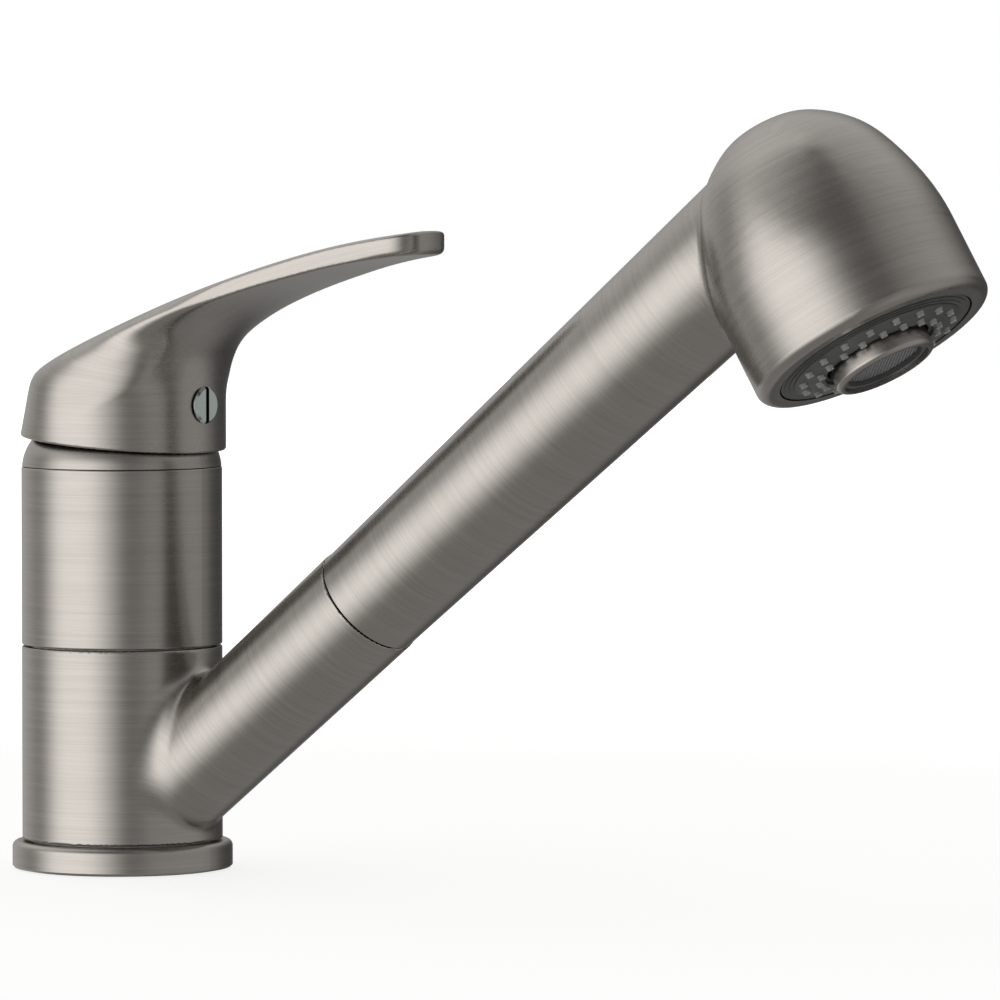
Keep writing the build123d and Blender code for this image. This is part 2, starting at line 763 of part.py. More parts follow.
with BuildPart() as handset_shell:
    with BuildSketch(head_profile) as head_section:
        with BuildLine():
            base_line = Line((0, 0), (head_r - rim_edge_r, 0))
            rim_arc = RadiusArc(base_line @ 1, (head_r, rim_edge_r), -rim_edge_r)
            side_line = Line(rim_arc @ 1, (head_r, head_straight))
            Spline(side_line @ 1, *head_outline, (0, head_height), tangents=[(0, 1), (-1, 0)])
            Line((0, head_height), (0, 0))
        make_face()
    revolve(head_section.sketch, axis=head_axis)
    grip_outline = [
        (0, grip_low),
        (grip_r_dock, grip_low),
        (grip_r_head, grip_length),
        (0, grip_length),
    ]
    turned(grip_outline, spout_profile, spout_axis)
    joint_edge = handset_shell.edges().filter_by(GeomType.BSPLINE).sort_by(SortBy.LENGTH)[-1]
    fillet(joint_edge, head_blend_r)
    # hollow of the head, with the guide ring and the ledge of the spray chamber
    with BuildSketch(head_profile) as head_hollow:
        with BuildLine():
            Polyline(
                (0, inner_head_height),
                (0, 0),
                (face_r, 0),
                (face_r, face_lip),
                (head_inner_r, face_lip + shell_wall),
                (head_inner_r, guide_ring_low - 3.0),
                (chamber_r + seat_fit, guide_ring_low),
                (chamber_r + seat_fit, ledge_low),
                (ledge_r, ledge_low),
                (ledge_r, ledge_low + ledge_h),
                (head_inner_r - 0.6, ledge_low + ledge_h + 4.0),
            )
            Spline(
                (head_inner_r - 0.6, ledge_low + ledge_h + 4.0),
                *[(r - shell_wall, v - 0.8) for r, v in head_outline],
                (0, inner_head_height),
                tangents=[(0, 1), (-1, 0)],
            )
        make_face()
    revolve(head_hollow.sketch, axis=head_axis, mode=Mode.SUBTRACT)
    grip_hollow = [
        (0, 0),
        (grip_mouth_r, 0),
        (grip_mouth_r, grip_low + connector_flange_h + seat_fit),
        (grip_bore_r_dock, grip_low + connector_flange_h + seat_fit),
        (grip_bore_r_head, grip_bore_length),
        (0, grip_bore_length),
    ]
    turned(grip_hollow, spout_profile, spout_axis, Mode.SUBTRACT)
save(handset_shell.part, "handset_shell")

tube_bore_r = waterway_r - waterway_wall
neck_high = grip_low + connector_flange_h + connector_neck
valve_low = hose_thread_depth - spigot_length
valve_high = valve_low + valve_h

with BuildPart() as hose_connector:
    connector_outline = [
        (0, -spigot_length),
        (spigot_r - spigot_lead, -spigot_length),
        (spigot_r, spigot_lead - spigot_length),
        (spigot_r, grip_low),
        (grip_mouth_r - seat_fit, grip_low),
        (grip_mouth_r - seat_fit, grip_low + connector_flange_h),
        (tube_bore_r - seat_fit, grip_low + connector_flange_h),
        (tube_bore_r - seat_fit, neck_high),
        (0, neck_high),
    ]
    turned(connector_outline, spout_profile, spout_axis)
    with BuildSketch(cross_plane(dock, spout_dir, 2 * spigot_lead - spigot_length)) as key:
        with Locations((0, spigot_r)):
            Rectangle(key_w, 2 * key_h)
    extrude(key.sketch, amount=spigot_length - 2 * spigot_lead + grip_low)
    connector_bore = [
        (0, -spigot_length),
        (hose_thread_r, -spigot_length),
        (hose_thread_r, valve_low - washer_h - seat_fit),
        (hose_thread_r + washer_groove, valve_low - washer_h - seat_fit),
        (hose_thread_r + washer_groove, valve_low),
        (valve_r + seat_fit, valve_low),
        (valve_r + seat_fit, valve_high + seat_fit),
        (connector_way_r, valve_high + seat_fit),
        (connector_way_r, neck_high),
        (0, neck_high),
    ]
    turned(connector_bore, spout_profile, spout_axis, Mode.SUBTRACT)
save(hose_connector.part, "hose_connector")

with BuildPart() as check_valve:
    turned(ring(valve_r - valve_wall, valve_r, valve_low, valve_high), spout_profile, spout_axis)
    with BuildSketch(cross_plane(dock, spout_dir, valve_high)) as spider:
        Circle(valve_r - valve_wall / 2)
        Circle(valve_r - valve_wall, mode=Mode.SUBTRACT)
        Rectangle(2 * valve_r - valve_wall, valve_arm_w)
        Rectangle(valve_arm_w, 2 * valve_r - valve_wall)
        Circle(poppet_r / 2)
        Circle(poppet_r / 4 + run_fit, mode=Mode.SUBTRACT)
    extrude(spider.sketch, amount=-valve_h / 4)
save(check_valve.part, "check_valve")

with BuildPart() as valve_poppet:
    poppet_outline = [
        (0, valve_low + 0.5),
        (poppet_r / 2, valve_low + 0.5),
        (poppet_r, valve_low + 2.0),
        (poppet_r, valve_low + 3.0),
        (poppet_r / 4, valve_low + 3.0),
        (poppet_r / 4, valve_high),
        (0, valve_high),
    ]
    turned(poppet_outline, spout_profile, spout_axis)
save(valve_poppet.part, "valve_poppet")

with BuildPart() as hose_washer:
    turned(ring(connector_way_r, hose_thread_r - seat_fit, valve_low - washer_h, valve_low), spout_profile, spout_axis)
save(hose_washer.part, "hose_washer")

# the axes of the grip and of the head cross here, in the waterway's elbow
gap = face - dock
axes_sin = spout_dir.X * into_head.Z - spout_dir.Z * into_head.X
elbow_s = (gap.X * into_head.Z - gap.Z * into_head.X) / axes_sin
elbow_v = (gap.X * spout_dir.Z - gap.Z * spout_dir.X) / axes_sin
elbow = dock + spout_dir * elbow_s
inlet_low = chamber_high + inlet_seal_h

with BuildPart() as waterway:
    turned(ring(0, waterway_r, waterway_start, elbow_s), spout_profile, spout_axis)
    turned(ring(0, waterway_r, inlet_low, elbow_v), head_profile, head_axis)
    with Locations(elbow):
        Sphere(waterway_r)
    turned(ring(0, tube_bore_r, waterway_start, elbow_s), spout_profile, spout_axis, Mode.SUBTRACT)
    turned(ring(0, tube_bore_r, inlet_low, elbow_v), head_profile, head_axis, Mode.SUBTRACT)
    with Locations(elbow):
        Sphere(tube_bore_r, mode=Mode.SUBTRACT)
save(waterway.part, "waterway")

with BuildPart() as inlet_seal:
    turned(ring(chamber_inlet_r, waterway_r, chamber_high, inlet_low), head_profile, head_axis)
save(inlet_seal.part, "inlet_seal")

core_floor_low = mat_high + core_depth
guide_r = spool_r + run_fit
core_r_in = core_r_out - core_wall

with BuildPart() as spray_chamber:
    chamber_outline = [
        (core_r_in, mat_high),
        (core_r_out, mat_high),
        (core_r_out, core_floor_low + core_floor_h),
        (guide_r + chamber_wall, core_floor_low + core_floor_h),
        (guide_r + chamber_wall, chamber_high - chamber_wall),
        (chamber_r - chamber_wall, chamber_high - chamber_wall),
        (chamber_r - chamber_wall, mat_high),
        (chamber_r, mat_high),
        (chamber_r, chamber_high),
        (waterway_r + seat_fit + socket_wall, chamber_high),
        (waterway_r + seat_fit + socket_wall, chamber_high + socket_h),
        (waterway_r + seat_fit, chamber_high + socket_h),
        (waterway_r + seat_fit, chamber_high),
        (chamber_inlet_r, chamber_high),
        (chamber_inlet_r, chamber_high - chamber_wall),
        (guide_r, chamber_high - chamber_wall),
        (guide_r, core_floor_low),
        (core_r_in, core_floor_low),
    ]
    turned(chamber_outline, head_profile, head_axis)
    # ways from the spool's guide out to the nozzles
    guide_middle = (core_floor_low + core_floor_h + chamber_high - chamber_wall) / 2
    with BuildSketch(Plane(origin=face + into_head * guide_middle, x_dir=into_head, z_dir=(0, 1, 0))) as side_way:
        Circle(1.2)
    extrude(side_way.sketch, amount=guide_r + chamber_wall + 1, both=True, mode=Mode.SUBTRACT)
save(spray_chamber.part, "spray_chamber")


def plate_front(radius):
    """Height of the plate's domed front over the spray face, at a radius."""
    return plate_slope * (radius - moat_r) - plate_crown


def nozzle_places(row_r, stagger):
    """Centres of one row's nozzles."""
    turns = [2 * math.pi * (index + stagger) / nozzle_count for index in range(nozzle_count)]
    return [(row_r * math.cos(turn), row_r * math.sin(turn)) for turn in turns]


with BuildPart() as nozzle_mat:
    turned(ring(core_r_in + seat_fit, chamber_r - seat_fit, plate_high, mat_high), head_profile, head_axis)
    for nozzle_row in nozzle_rows:
        root_low = plate_front(nozzle_row[0])
        with BuildSketch(cross_plane(face, into_head, plate_high)) as nozzle_roots:
            with Locations(*nozzle_places(*nozzle_row)):
                Circle(nozzle_r)
        extrude(nozzle_roots.sketch, amount=root_low - plate_high)
        with BuildSketch(cross_plane(face, into_head, root_low - nozzle_proud)) as nozzle_tips:
            with Locations(*nozzle_places(*nozzle_row)):
                Circle(nozzle_tip_r)
        extrude(nozzle_tips.sketch, amount=nozzle_proud)
        with BuildSketch(cross_plane(face, into_head, mat_high)) as nozzle_ways:
            with Locations(*nozzle_places(*nozzle_row)):
                Circle(nozzle_way_r)
        extrude(nozzle_ways.sketch, amount=root_low - nozzle_proud - mat_high, mode=Mode.SUBTRACT)
save(nozzle_mat.part, "nozzle_mat")

with BuildPart() as face_plate:
    outer, middle, inner = plate_step_radii
    plate_outline = [
        (plate_bore_r, moat_depth - plate_crown),
        (moat_r, moat_depth - plate_crown),
        (moat_r, -plate_crown),
        (inner, plate_front(inner)),
        (inner, plate_edge_recess - 2 * plate_step),
        (middle, plate_edge_recess - 2 * plate_step),
        (middle, plate_edge_recess - plate_step),
        (outer, plate_edge_recess - plate_step),
        (outer, plate_edge_recess),
        (face_r - seam_gap, plate_edge_recess),
        (face_r - seam_gap, plate_high),
        (plate_bore_r, plate_high),
    ]
    turned(plate_outline, head_profile, head_axis)
    for nozzle_row in nozzle_rows:
        with BuildSketch(cross_plane(face, into_head, plate_high)) as plate_holes:
            with Locations(*nozzle_places(*nozzle_row)):
                Circle(nozzle_hole_r)
        extrude(plate_holes.sketch, amount=-(plate_high + 2 * plate_crown), mode=Mode.SUBTRACT)
save(face_plate.part, "face_plate")

# ================================================================ diverter, pressed in by its collar
flange_low = plate_high + 0.05
flange_high = flange_low + collar_flange_h
web_low = flange_high - collar_web_h
collar_bore_r = collar_r - collar_wall

with BuildPart() as diverter_collar:
    collar_outline = [
        (spool_spigot_r + seat_fit, web_low),
        (collar_bore_r, web_low),
        (collar_bore_r, -collar_proud),
        (collar_r, -collar_proud),
        (collar_r, flange_low),
        (collar_flange_r, flange_low),
        (collar_flange_r, flange_high),
        (spool_spigot_r + seat_fit, flange_high),
    ]
    turned(collar_outline, head_profile, head_axis)
    outer_rim = diverter_collar.edges().filter_by(GeomType.CIRCLE).sort_by(head_axis)
    fillet([edge for edge in outer_rim if abs(edge.radius - collar_r) < 0.01][0], collar_edge_r)
save(diverter_collar.part, "diverter_collar")

spool_high = chamber_high - chamber_wall - collar_stroke - free_gap
seal_heights = [core_floor_low + 0.6, spool_high - 1.5]
groove_r = spool_r - seal_section

with BuildPart() as diverter_spool:
    spool_outline = [
        (spool_bore_r, web_low),
        (spool_spigot_r, web_low),
        (spool_spigot_r, flange_high),
        (spool_r, flange_high),
        (spool_r, spool_high),
        (spool_bore_r, spool_high),
    ]
    turned(spool_outline, head_profile, head_axis)
    for height in seal_heights:
        turned(ring(groove_r, spool_r + 1, height, height + seal_section), head_profile, head_axis, Mode.SUBTRACT)
save(diverter_spool.part, "diverter_spool")

with BuildPart() as spool_seals:
    for height in seal_heights:
        turned(ring(groove_r, guide_r - 0.02, height + 0.02, height + seal_section - 0.02), head_profile, head_axis)
save(spool_seals.part, "spool_seals")

aerator_r = collar_bore_r - seat_fit
aerator_low = -collar_proud + aerator_recess
mesh_seat = aerator_low + mesh_depth + mesh_h

with BuildPart() as aerator_body:
    aerator_outline = [
        (0, web_low - aerator_floor_h),
        (aerator_r - aerator_rim - aerator_step, web_low - aerator_floor_h),
        (aerator_r - aerator_rim - aerator_step, mesh_seat),
        (aerator_r - aerator_rim, mesh_seat),
        (aerator_r - aerator_rim, aerator_low),
        (aerator_r, aerator_low),
        (aerator_r, web_low),
        (0, web_low),
    ]
    turned(aerator_outline, head_profile, head_axis)
    with BuildSketch(cross_plane(face, into_head, web_low)) as jets:
        with PolarLocations(spool_bore_r - aerator_hole_r, 6):
            Circle(aerator_hole_r)
    extrude(jets.sketch, amount=-aerator_floor_h, mode=Mode.SUBTRACT)
save(aerator_body.part, "aerator_body")

with BuildPart() as aerator_mesh:
    mesh_ring = ring(0, aerator_r - aerator_rim - seat_fit, mesh_seat - mesh_h, mesh_seat)
    turned(mesh_ring, head_profile, head_axis)
save(aerator_mesh.part, "aerator_mesh")
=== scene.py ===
"""Studio scene of a single-lever kitchen mixer with a pull-out spray handset docked in its spout.

Metres, +Z up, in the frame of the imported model: the origin is on the column's axis in the deck's top
face, and the spout and the lever point along +X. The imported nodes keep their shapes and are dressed
here. Finer surfaces, worked out with numpy, stand for the lever, the spout and the wire screen, and
the screw threads are added.
"""

import logging
import math
from dataclasses import dataclass
from enum import Enum
from typing import Any, Callable, Sequence, Union

import bpy
import numpy as np
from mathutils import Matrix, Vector


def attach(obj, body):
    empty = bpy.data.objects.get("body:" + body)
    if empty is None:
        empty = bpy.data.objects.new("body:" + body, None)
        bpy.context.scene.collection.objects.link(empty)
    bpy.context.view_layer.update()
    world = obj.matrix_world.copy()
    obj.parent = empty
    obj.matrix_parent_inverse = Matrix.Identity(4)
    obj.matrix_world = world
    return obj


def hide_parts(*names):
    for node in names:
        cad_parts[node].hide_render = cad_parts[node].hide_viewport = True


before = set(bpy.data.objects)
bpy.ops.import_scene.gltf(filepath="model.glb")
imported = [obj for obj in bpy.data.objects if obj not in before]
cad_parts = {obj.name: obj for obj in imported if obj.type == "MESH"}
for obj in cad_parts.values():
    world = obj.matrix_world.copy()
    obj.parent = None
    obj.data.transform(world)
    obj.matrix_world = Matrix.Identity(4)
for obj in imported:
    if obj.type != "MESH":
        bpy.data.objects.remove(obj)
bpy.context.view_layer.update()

log = logging.getLogger("mixer")

MM = 0.001
Pair = tuple[float, float]
Triple = tuple[float, float, float]
Array = np.ndarray
Material = bpy.types.Material
Piece = bpy.types.Object

X_AXIS: Triple = (1.0, 0.0, 0.0)
Y_AXIS: Triple = (0.0, 1.0, 0.0)

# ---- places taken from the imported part
SPOUT_RISE = math.radians(38.5)
SPOUT_AXIS: Triple = (math.cos(SPOUT_RISE), 0.0, math.sin(SPOUT_RISE))
DOCK: Triple = (76.37 * MM, 0.0, 69.43 * MM)
HEAD_TILT = math.radians(31.0)
INTO_HEAD: Triple = (-math.sin(HEAD_TILT), 0.0, math.cos(HEAD_TILT))
FACE: Triple = (221.6 * MM, 0.0, 133.1 * MM)
COLUMN_AXIS: Triple = (0.0, 0.0, 1.0)
DECK: Triple = (0.0, 0.0, 0.0)


def unit(vector: Sequence[float]) -> Array:
    """Return a vector as an array of length one."""
    array = np.asarray(vector, float)
    return array / np.linalg.norm(array)


def cross_pair(axis: Sequence[float]) -> tuple[Array, Array]:
    """Two directions square to an axis and to each other.

    Args:
        axis: The axis, of any length.

    Returns:
        The pair, of which the first is +Y wherever the axis lies in the plane Y = 0.
    """
    along = unit(axis)
    first = np.array(Y_AXIS if abs(along[1]) < 0.9 else X_AXIS)
    first = unit(first - along * (first @ along))
    return first, np.cross(along, first)


# ---- shader kit
Operand = Union["Term", float, int]


def math_method(operation: str, swapped: bool = False) -> Callable[..., "Term"]:
    """Make a method of Term that adds one Math node.

    Args:
        operation: The node's operation.
        swapped: Whether the other operand comes first.

    Returns:
        The method, which takes the other operand where the operation has one.
    """

    def method(self: "Term", *other: Operand) -> "Term":
        """Result of the operation."""
        operands = (*other, self) if swapped else (self, *other)
        return self.graph.node("Math", {"operation": operation}, dict(enumerate(operands)))

    return method


class Term:
    """An output socket that takes part in arithmetic, each operator adding one Math node."""

    __add__ = __radd__ = math_method("ADD")
    __sub__ = math_method("SUBTRACT")
    __rsub__ = math_method("SUBTRACT", swapped=True)
    __mul__ = __rmul__ = math_method("MULTIPLY")
    __truediv__ = math_method("DIVIDE")
    __abs__ = math_method("ABSOLUTE")
    sqrt = math_method("SQRT")
    sine = math_method("SINE")
    arcsine = math_method("ARCSINE")
    arctan2 = math_method("ARCTAN2")  # angle of the point (other, self)
    at_least = math_method("MAXIMUM")

    def __init__(self, graph: "Graph", socket: bpy.types.NodeSocket) -> None:
        """Hold the socket and the graph it belongs to."""
        self.graph = graph
        self.socket = socket

    def dot(self, axis: Sequence[float]) -> "Term":
        """Component of this vector along a fixed direction."""
        return self.graph.vector("DOT_PRODUCT", self, tuple(axis), "Value")

    def step(self, low: float, high: float) -> "Term":
        """Smooth step of this term, which leaves 0 at low and reaches 1 at high."""
        inputs = {"Value": self, "From Min": low, "From Max": high}
        return self.graph.node("MapRange", {"interpolation_type": "SMOOTHSTEP"}, inputs)

    def band(self, rise: Pair, fall: Pair) -> "Term":
        """1 between two smooth edges and 0 outside, each edge given by where it starts and ends."""
        return self.step(*rise) * (1.0 - self.step(*fall))


Link = Union[Term, float, int, Sequence[float], str]


class Graph:
    """The node tree of one material or of the world."""

    def __init__(self, tree: bpy.types.NodeTree) -> None:
        """Empty the tree."""
        self.tree = tree
        tree.nodes.clear()

    def node(self, kind: str, settings: dict[str, Any], inputs: dict[Any, Link], output: Any = 0) -> Term:
        """Add any node.

        Args:
            kind: The node's type, less the ShaderNode that all begin with.
            settings: Its properties, set before anything else. "stops" holds a ramp's (place, level) pairs.
            inputs: Values or terms, keyed by the socket's identifier, name or number.
            output: The identifier, name or number of the output wanted.

        Returns:
            That output as a term.
        """
        made = self.tree.nodes.new("ShaderNode" + kind)
        for key, value in settings.items():
            if key == "stops":
                self._stops(made.color_ramp, value)
            else:
                setattr(made, key, value)
        for key, value in inputs.items():
            self.feed(self._find(made.inputs, key), value)
        return Term(self, self._find(made.outputs, output) if made.outputs else made.inputs[0])

    def feed(self, socket: bpy.types.NodeSocket, value: Link) -> None:
        """Give an input a link or a constant."""
        if isinstance(value, Term):
            self.tree.links.new(value.socket, socket)
        else:
            socket.default_value = value

    @staticmethod
    def _stops(ramp: bpy.types.ColorRamp, stops: Sequence[Pair]) -> None:
        """Give a ramp its stops, each a place and a grey level."""
        while len(ramp.elements) > 1:
            ramp.elements.remove(ramp.elements[-1])
        for number, (place, level) in enumerate(stops):
            element = ramp.elements[0] if number == 0 else ramp.elements.new(place)
            element.position = place
            element.color = (level, level, level, 1.0)

    @staticmethod
    def _find(sockets: Any, key: Any) -> bpy.types.NodeSocket:
        """Find a socket by number, identifier or name."""
        if isinstance(key, int):
            return sockets[key]
        for socket in sockets:
            if socket.identifier == key:
                return socket
        return next(s for s in sockets if s.name == key and s.enabled)

    def vector(self, operation: str, first: Link, second: Link, output: Any = 0) -> Term:
        """Add a Vector Math node on two vectors."""
        return self.node("VectorMath", {"operation": operation}, {0: first, 1: second}, output)

    def combine(self, x: Link, y: Link, z: Link) -> Term:
        """Vector from three components."""
        return self.node("CombineXYZ", {}, {0: x, 1: y, 2: z})

    def noise(self, at: Term, scale: float = 1.0, detail: float = 2.0, roughness: float = 0.5) -> Term:
        """Noise of about 0 to 1 at a vector."""
        inputs = {"Vector": at, "Scale": scale, "Detail": detail, "Roughness": roughness}
        return self.node("TexNoise", {}, inputs, 0)

    def blend_colour(self, amount: Link, first: Link, second: Link) -> Term:
        """Mix of two colours."""
        inputs = {"Factor_Float": amount, "A_Color": first, "B_Color": second}
        return self.node("Mix", {"data_type": "RGBA"}, inputs, "Result_Color")

    def blend(self, amount: Link, first: Operand, second: Operand) -> Term:
        """Mix of two numbers."""
        inputs = {"Factor_Float": amount, "A_Float": first, "B_Float": second}
        return self.node("Mix", {"data_type": "FLOAT"}, inputs, "Result_Float")

    def bump(self, height: Term, distance: float) -> Term:
        """Normal of a height of about 0 to 1, where 1 stands for a distance in metres."""
        return self.node("Bump", {}, {"Height": height, "Distance": distance, "Strength": 1.0})


class Surface(Graph):
    """The node tree of a surface material, with its Principled shader and Object coordinates ready."""

    def __init__(self, name: str) -> None:
        """Make the material and its shader."""
        self.material = bpy.data.materials.new(name)
        self.material.use_nodes = True
        super().__init__(self.material.node_tree)
        self.shader = self.tree.nodes.new("ShaderNodeBsdfPrincipled")
        output = self.tree.nodes.new("ShaderNodeOutputMaterial")
        self.tree.links.new(self.shader.outputs[0], output.inputs["Surface"])
        self.place = self.node("TexCoord", {}, {}, "Object")

    def set(self, **values: Link) -> Material:
        """Give the shader its values.

        Args:
            values: Links or constants, keyed by the socket's name with _ for each space.

        Returns:
            The finished material.
        """
        for key, value in values.items():
            self.feed(self.shader.inputs[key.replace("_", " ")], value)
        return self.material

    def speckle(self, scale: float, detail: float = 2.0, roughness: float = 0.5) -> Term:
        """Noise at the surface's own coordinates."""
        return self.noise(self.place, scale, detail, roughness)

    def tint(self, amount: Term, colour: Triple, low: float, high: float) -> Term:
        """Colour that goes from one multiple of a colour to another with an amount."""
        return self.blend_colour(amount, rgba(colour, low), rgba(colour, high))


def rgba(colour: Sequence[float], gain: float = 1.0) -> tuple[float, float, float, float]:
    """Colour with an alpha of 1, brightened or darkened by a factor."""
    return (colour[0] * gain, colour[1] * gain, colour[2] * gain, 1.0)


# ---- grain: how the brush ran
@dataclass(frozen=True)
class Turned:
    """A place on an axis, with brush lines that run round the axis."""

    origin: Triple = DECK
    axis: Triple = COLUMN_AXIS
    slant: float = 1.0

    def carry(self, local: Array) -> Array:
        """Points of the axis's own frame, with the height last, in the part's frame."""
        basis = np.stack([*cross_pair(self.axis), unit(self.axis)])
        return local @ basis + np.asarray(self.origin, float)

    def parts(self, place: Term) -> tuple[Term, ...]:
        """Split a place into its height on the axis, its two components across it and its radius."""
        local = place.graph.vector("SUBTRACT", place, self.origin)
        height, u, w = (local.dot(way) for way in (unit(self.axis), *cross_pair(self.axis)))
        return height, u, w, (u * u + w * w).sqrt()

    def stroke(self, place: Term) -> tuple[Term, ...]:
        """Brush coordinates: one across the lines and two that barely change along them.

        Across is the height plus slant times the radius, so that end faces get rings.
        """
        height, u, w, radius = self.parts(place)
        return height + self.slant * radius, u, w


@dataclass(frozen=True)
class Drawn:
    """Brush lines that follow the lever's arm."""

    root: float = 8.0 * MM
    slopes: Pair = (0.52, 0.0031 / MM)
    lean: float = 0.9

    def stroke(self, place: Term) -> tuple[Term, ...]:
        """Brush coordinates: one across the lines and two that barely change along them.

        Across is the height over the arm's sweep, plus a lean times the distance from the middle plane.
        The sweep rises from the cap as slope times run, less a square term, and is 0 behind the cap.
        """
        x, y, z = (place.dot(way) for way in (X_AXIS, Y_AXIS, COLUMN_AXIS))
        run = (x - self.root).at_least(0.0)
        rise = run * self.slopes[0] - run * run * self.slopes[1]
        return z - rise + self.lean * abs(y), x, y * 0.0


@dataclass(frozen=True)
class Nickel:
    """Brushed nickel plate: streaks of colour, roughness and height across the brush direction."""

    colour: Triple = (0.388, 0.369, 0.347)
    roughness: float = 0.27
    fine: float = 2700.0
    coarse: float = 800.0
    slow: float = 34.0
    streak: float = 0.08
    depth: float = 1.5e-6
    cloud: float = 45.0
    roughness_play: float = 0.07

    def lines(self, stroke: tuple[Term, ...]) -> tuple[Term, Term]:
        """Fine scratches and coarse streaks.

        Args:
            stroke: The brush coordinates, across first.

        Returns:
            The fine pattern and the coarse pattern, each about 0 to 1.
        """
        across, along, beside = stroke
        graph, slower = across.graph, 0.5 * self.slow
        fine = graph.combine(across * self.fine, along * self.slow, beside * self.slow)
        coarse = graph.combine(across * self.coarse, along * slower, beside * slower)
        return graph.noise(fine, detail=3.0, roughness=0.6), graph.noise(coarse, roughness=0.6)

    def dress(self, surface: Surface, fine: Term, coarse: Term) -> Material:
        """Finish a surface from its two patterns.

        Args:
            surface: The surface.
            fine: Fine scratches.
            coarse: Coarse streaks.

        Returns:
            The material.
        """
        tone = fine * 0.45 + coarse * 0.45 + surface.speckle(self.cloud) * 0.1
        colour = surface.tint(tone.step(0.3, 0.7), self.colour, 1.0 - self.streak, 1.0 + self.streak)
        rough = self.roughness - 0.5 * self.roughness_play + self.roughness_play * coarse
        normal = surface.bump(fine + coarse * 0.5, self.depth)
        return surface.set(Base_Color=colour, Metallic=1.0, Roughness=rough, Normal=normal)

    def turned(self, name: str, grain: Turned) -> Material:
        """Material of a piece whose lines all run round one axis."""
        surface = Surface(name)
        return self.dress(surface, *self.lines(grain.stroke(surface.place)))

    def parted(self, name: str, first: Any, second: Any, mask: Callable[[Term], Term]) -> Material:
        """Material of a piece brushed two ways.

        Args:
            name: The material's name.
            first: Grain where the mask is 0.
            second: Grain where the mask is 1.
            mask: Function of the place that gives the mask.

        Returns:
            The material.
        """
        surface = Surface(name)
        a = self.lines(first.stroke(surface.place))
        b = self.lines(second.stroke(surface.place))
        share = mask(surface.place)
        return self.dress(surface, surface.blend(share, a[0], b[0]), surface.blend(share, a[1], b[1]))


@dataclass(frozen=True)
class Polished:
    """Polished nickel plate with faint wipe marks, and painted shade in the slot of a screw head."""

    colour: Triple = (0.60, 0.68, 0.65)
    # painted shade: near-black colour for inside the screw head's slot
    slot_shade: Triple = (0.03, 0.034, 0.033)
    roughness: float = 0.12
    head: float = 26.9 * MM
    slot_width: float = 1.3 * MM
    slot_depth: Pair = (0.05 * MM, 0.3 * MM)
    depth: float = 1.5e-6

    def material(self, name: str) -> Material:
        """Make the material."""
        surface = Surface(name)
        marks = surface.speckle(900.0, 3.0)
        beside = abs(surface.place.dot(Y_AXIS))
        sunk = self.head - surface.place.dot(X_AXIS)
        aside = beside.step(0.5 * self.slot_width, 0.55 * self.slot_width)
        # painted shade: inside the slot, below the head's face, the colour goes to near black where shade
        # falls
        slot = sunk.step(*self.slot_depth) * (1.0 - aside)
        plate = surface.tint(marks, self.colour, 0.95, 1.03)
        colour = surface.blend_colour(slot, plate, rgba(self.slot_shade))
        rough = self.roughness + marks * 0.05
        normal = surface.bump(marks, self.depth)
        return surface.set(Base_Color=colour, Metallic=1.0, Roughness=rough, Normal=normal)


@dataclass(frozen=True)
class Machined:
    """Bare turned metal: regular tool marks round an axis, dulled in patches."""

    colour: Triple
    grain: Turned
    pitch: float = 0.22 * MM
    roughness: float = 0.3
    fine: float = 3000.0
    slow: float = 80.0
    depth: float = 3.0e-6

    def material(self, name: str) -> Material:
        """Make the material."""
        surface = Surface(name)
        across, along, beside = self.grain.stroke(surface.place)
        groove = (across * (2.0 * math.pi / self.pitch)).sine() * 0.5 + 0.5
        patch = surface.speckle(160.0, 4.0, 0.6)
        lines = surface.noise(surface.combine(across * self.fine, along * self.slow, beside * self.slow))
        tone = (patch * 0.6 + lines * 0.4).step(0.25, 0.75)
        colour = surface.tint(tone, self.colour, 0.82, 1.08)
        rough = self.roughness - 0.08 + 0.16 * patch
        normal = surface.bump(groove * 0.6 + lines * 0.4, self.depth)
        return surface.set(Base_Color=colour, Metallic=1.0, Roughness=rough, Normal=normal)


@dataclass(frozen=True)
class Moulded:
    """Injection-moulded plastic: spark-eroded texture, faint flow clouds."""

    colour: Triple
    roughness: float = 0.42
    texture: float = 2400.0
    depth: float = 5.0e-6

    def material(self, name: str) -> Material:
        """Make the material."""
        surface = Surface(name)
        flow, grit = surface.speckle(70.0, 3.0), surface.speckle(self.texture)
        colour = surface.tint(flow * 0.6 + grit * 0.4, self.colour, 0.92, 1.06)
        rough = self.roughness - 0.05 + 0.1 * grit
        normal = surface.bump(grit, self.depth)
        return surface.set(Base_Color=colour, Roughness=rough, Normal=normal, IOR=1.5)


@dataclass(frozen=True)
class Rubber:
    """Moulded rubber or silicone: soft, dull, with a dusty bloom."""

    colour: Triple
    roughness: float = 0.62
    texture: float = 2600.0
    depth: float = 6.0e-6

    def material(self, name: str) -> Material:
        """Make the material."""
        surface = Surface(name)
        bloom = surface.speckle(320.0, 4.0, 0.65)
        colour = surface.tint(bloom.step(0.3, 0.75), self.colour, 0.88, 1.12)
        rough = self.roughness - 0.06 + 0.12 * bloom
        normal = surface.bump(surface.speckle(self.texture), self.depth)
        return surface.set(Base_Color=colour, Roughness=rough, Normal=normal, IOR=1.45)


@dataclass(frozen=True)
class Ceramic:
    """Lapped alumina: fine speckle under a satin face."""

    colour: Triple = (0.86, 0.85, 0.81)
    depth: float = 1.0e-6

    def material(self, name: str) -> Material:
        """Make the material."""
        surface = Surface(name)
        speck = surface.speckle(5200.0, 3.0)
        colour = surface.tint(speck, self.colour, 0.95, 1.02)
        normal = surface.bump(speck, self.depth)
        return surface.set(Base_Color=colour, Roughness=0.22 + 0.1 * speck, Normal=normal, IOR=1.76)


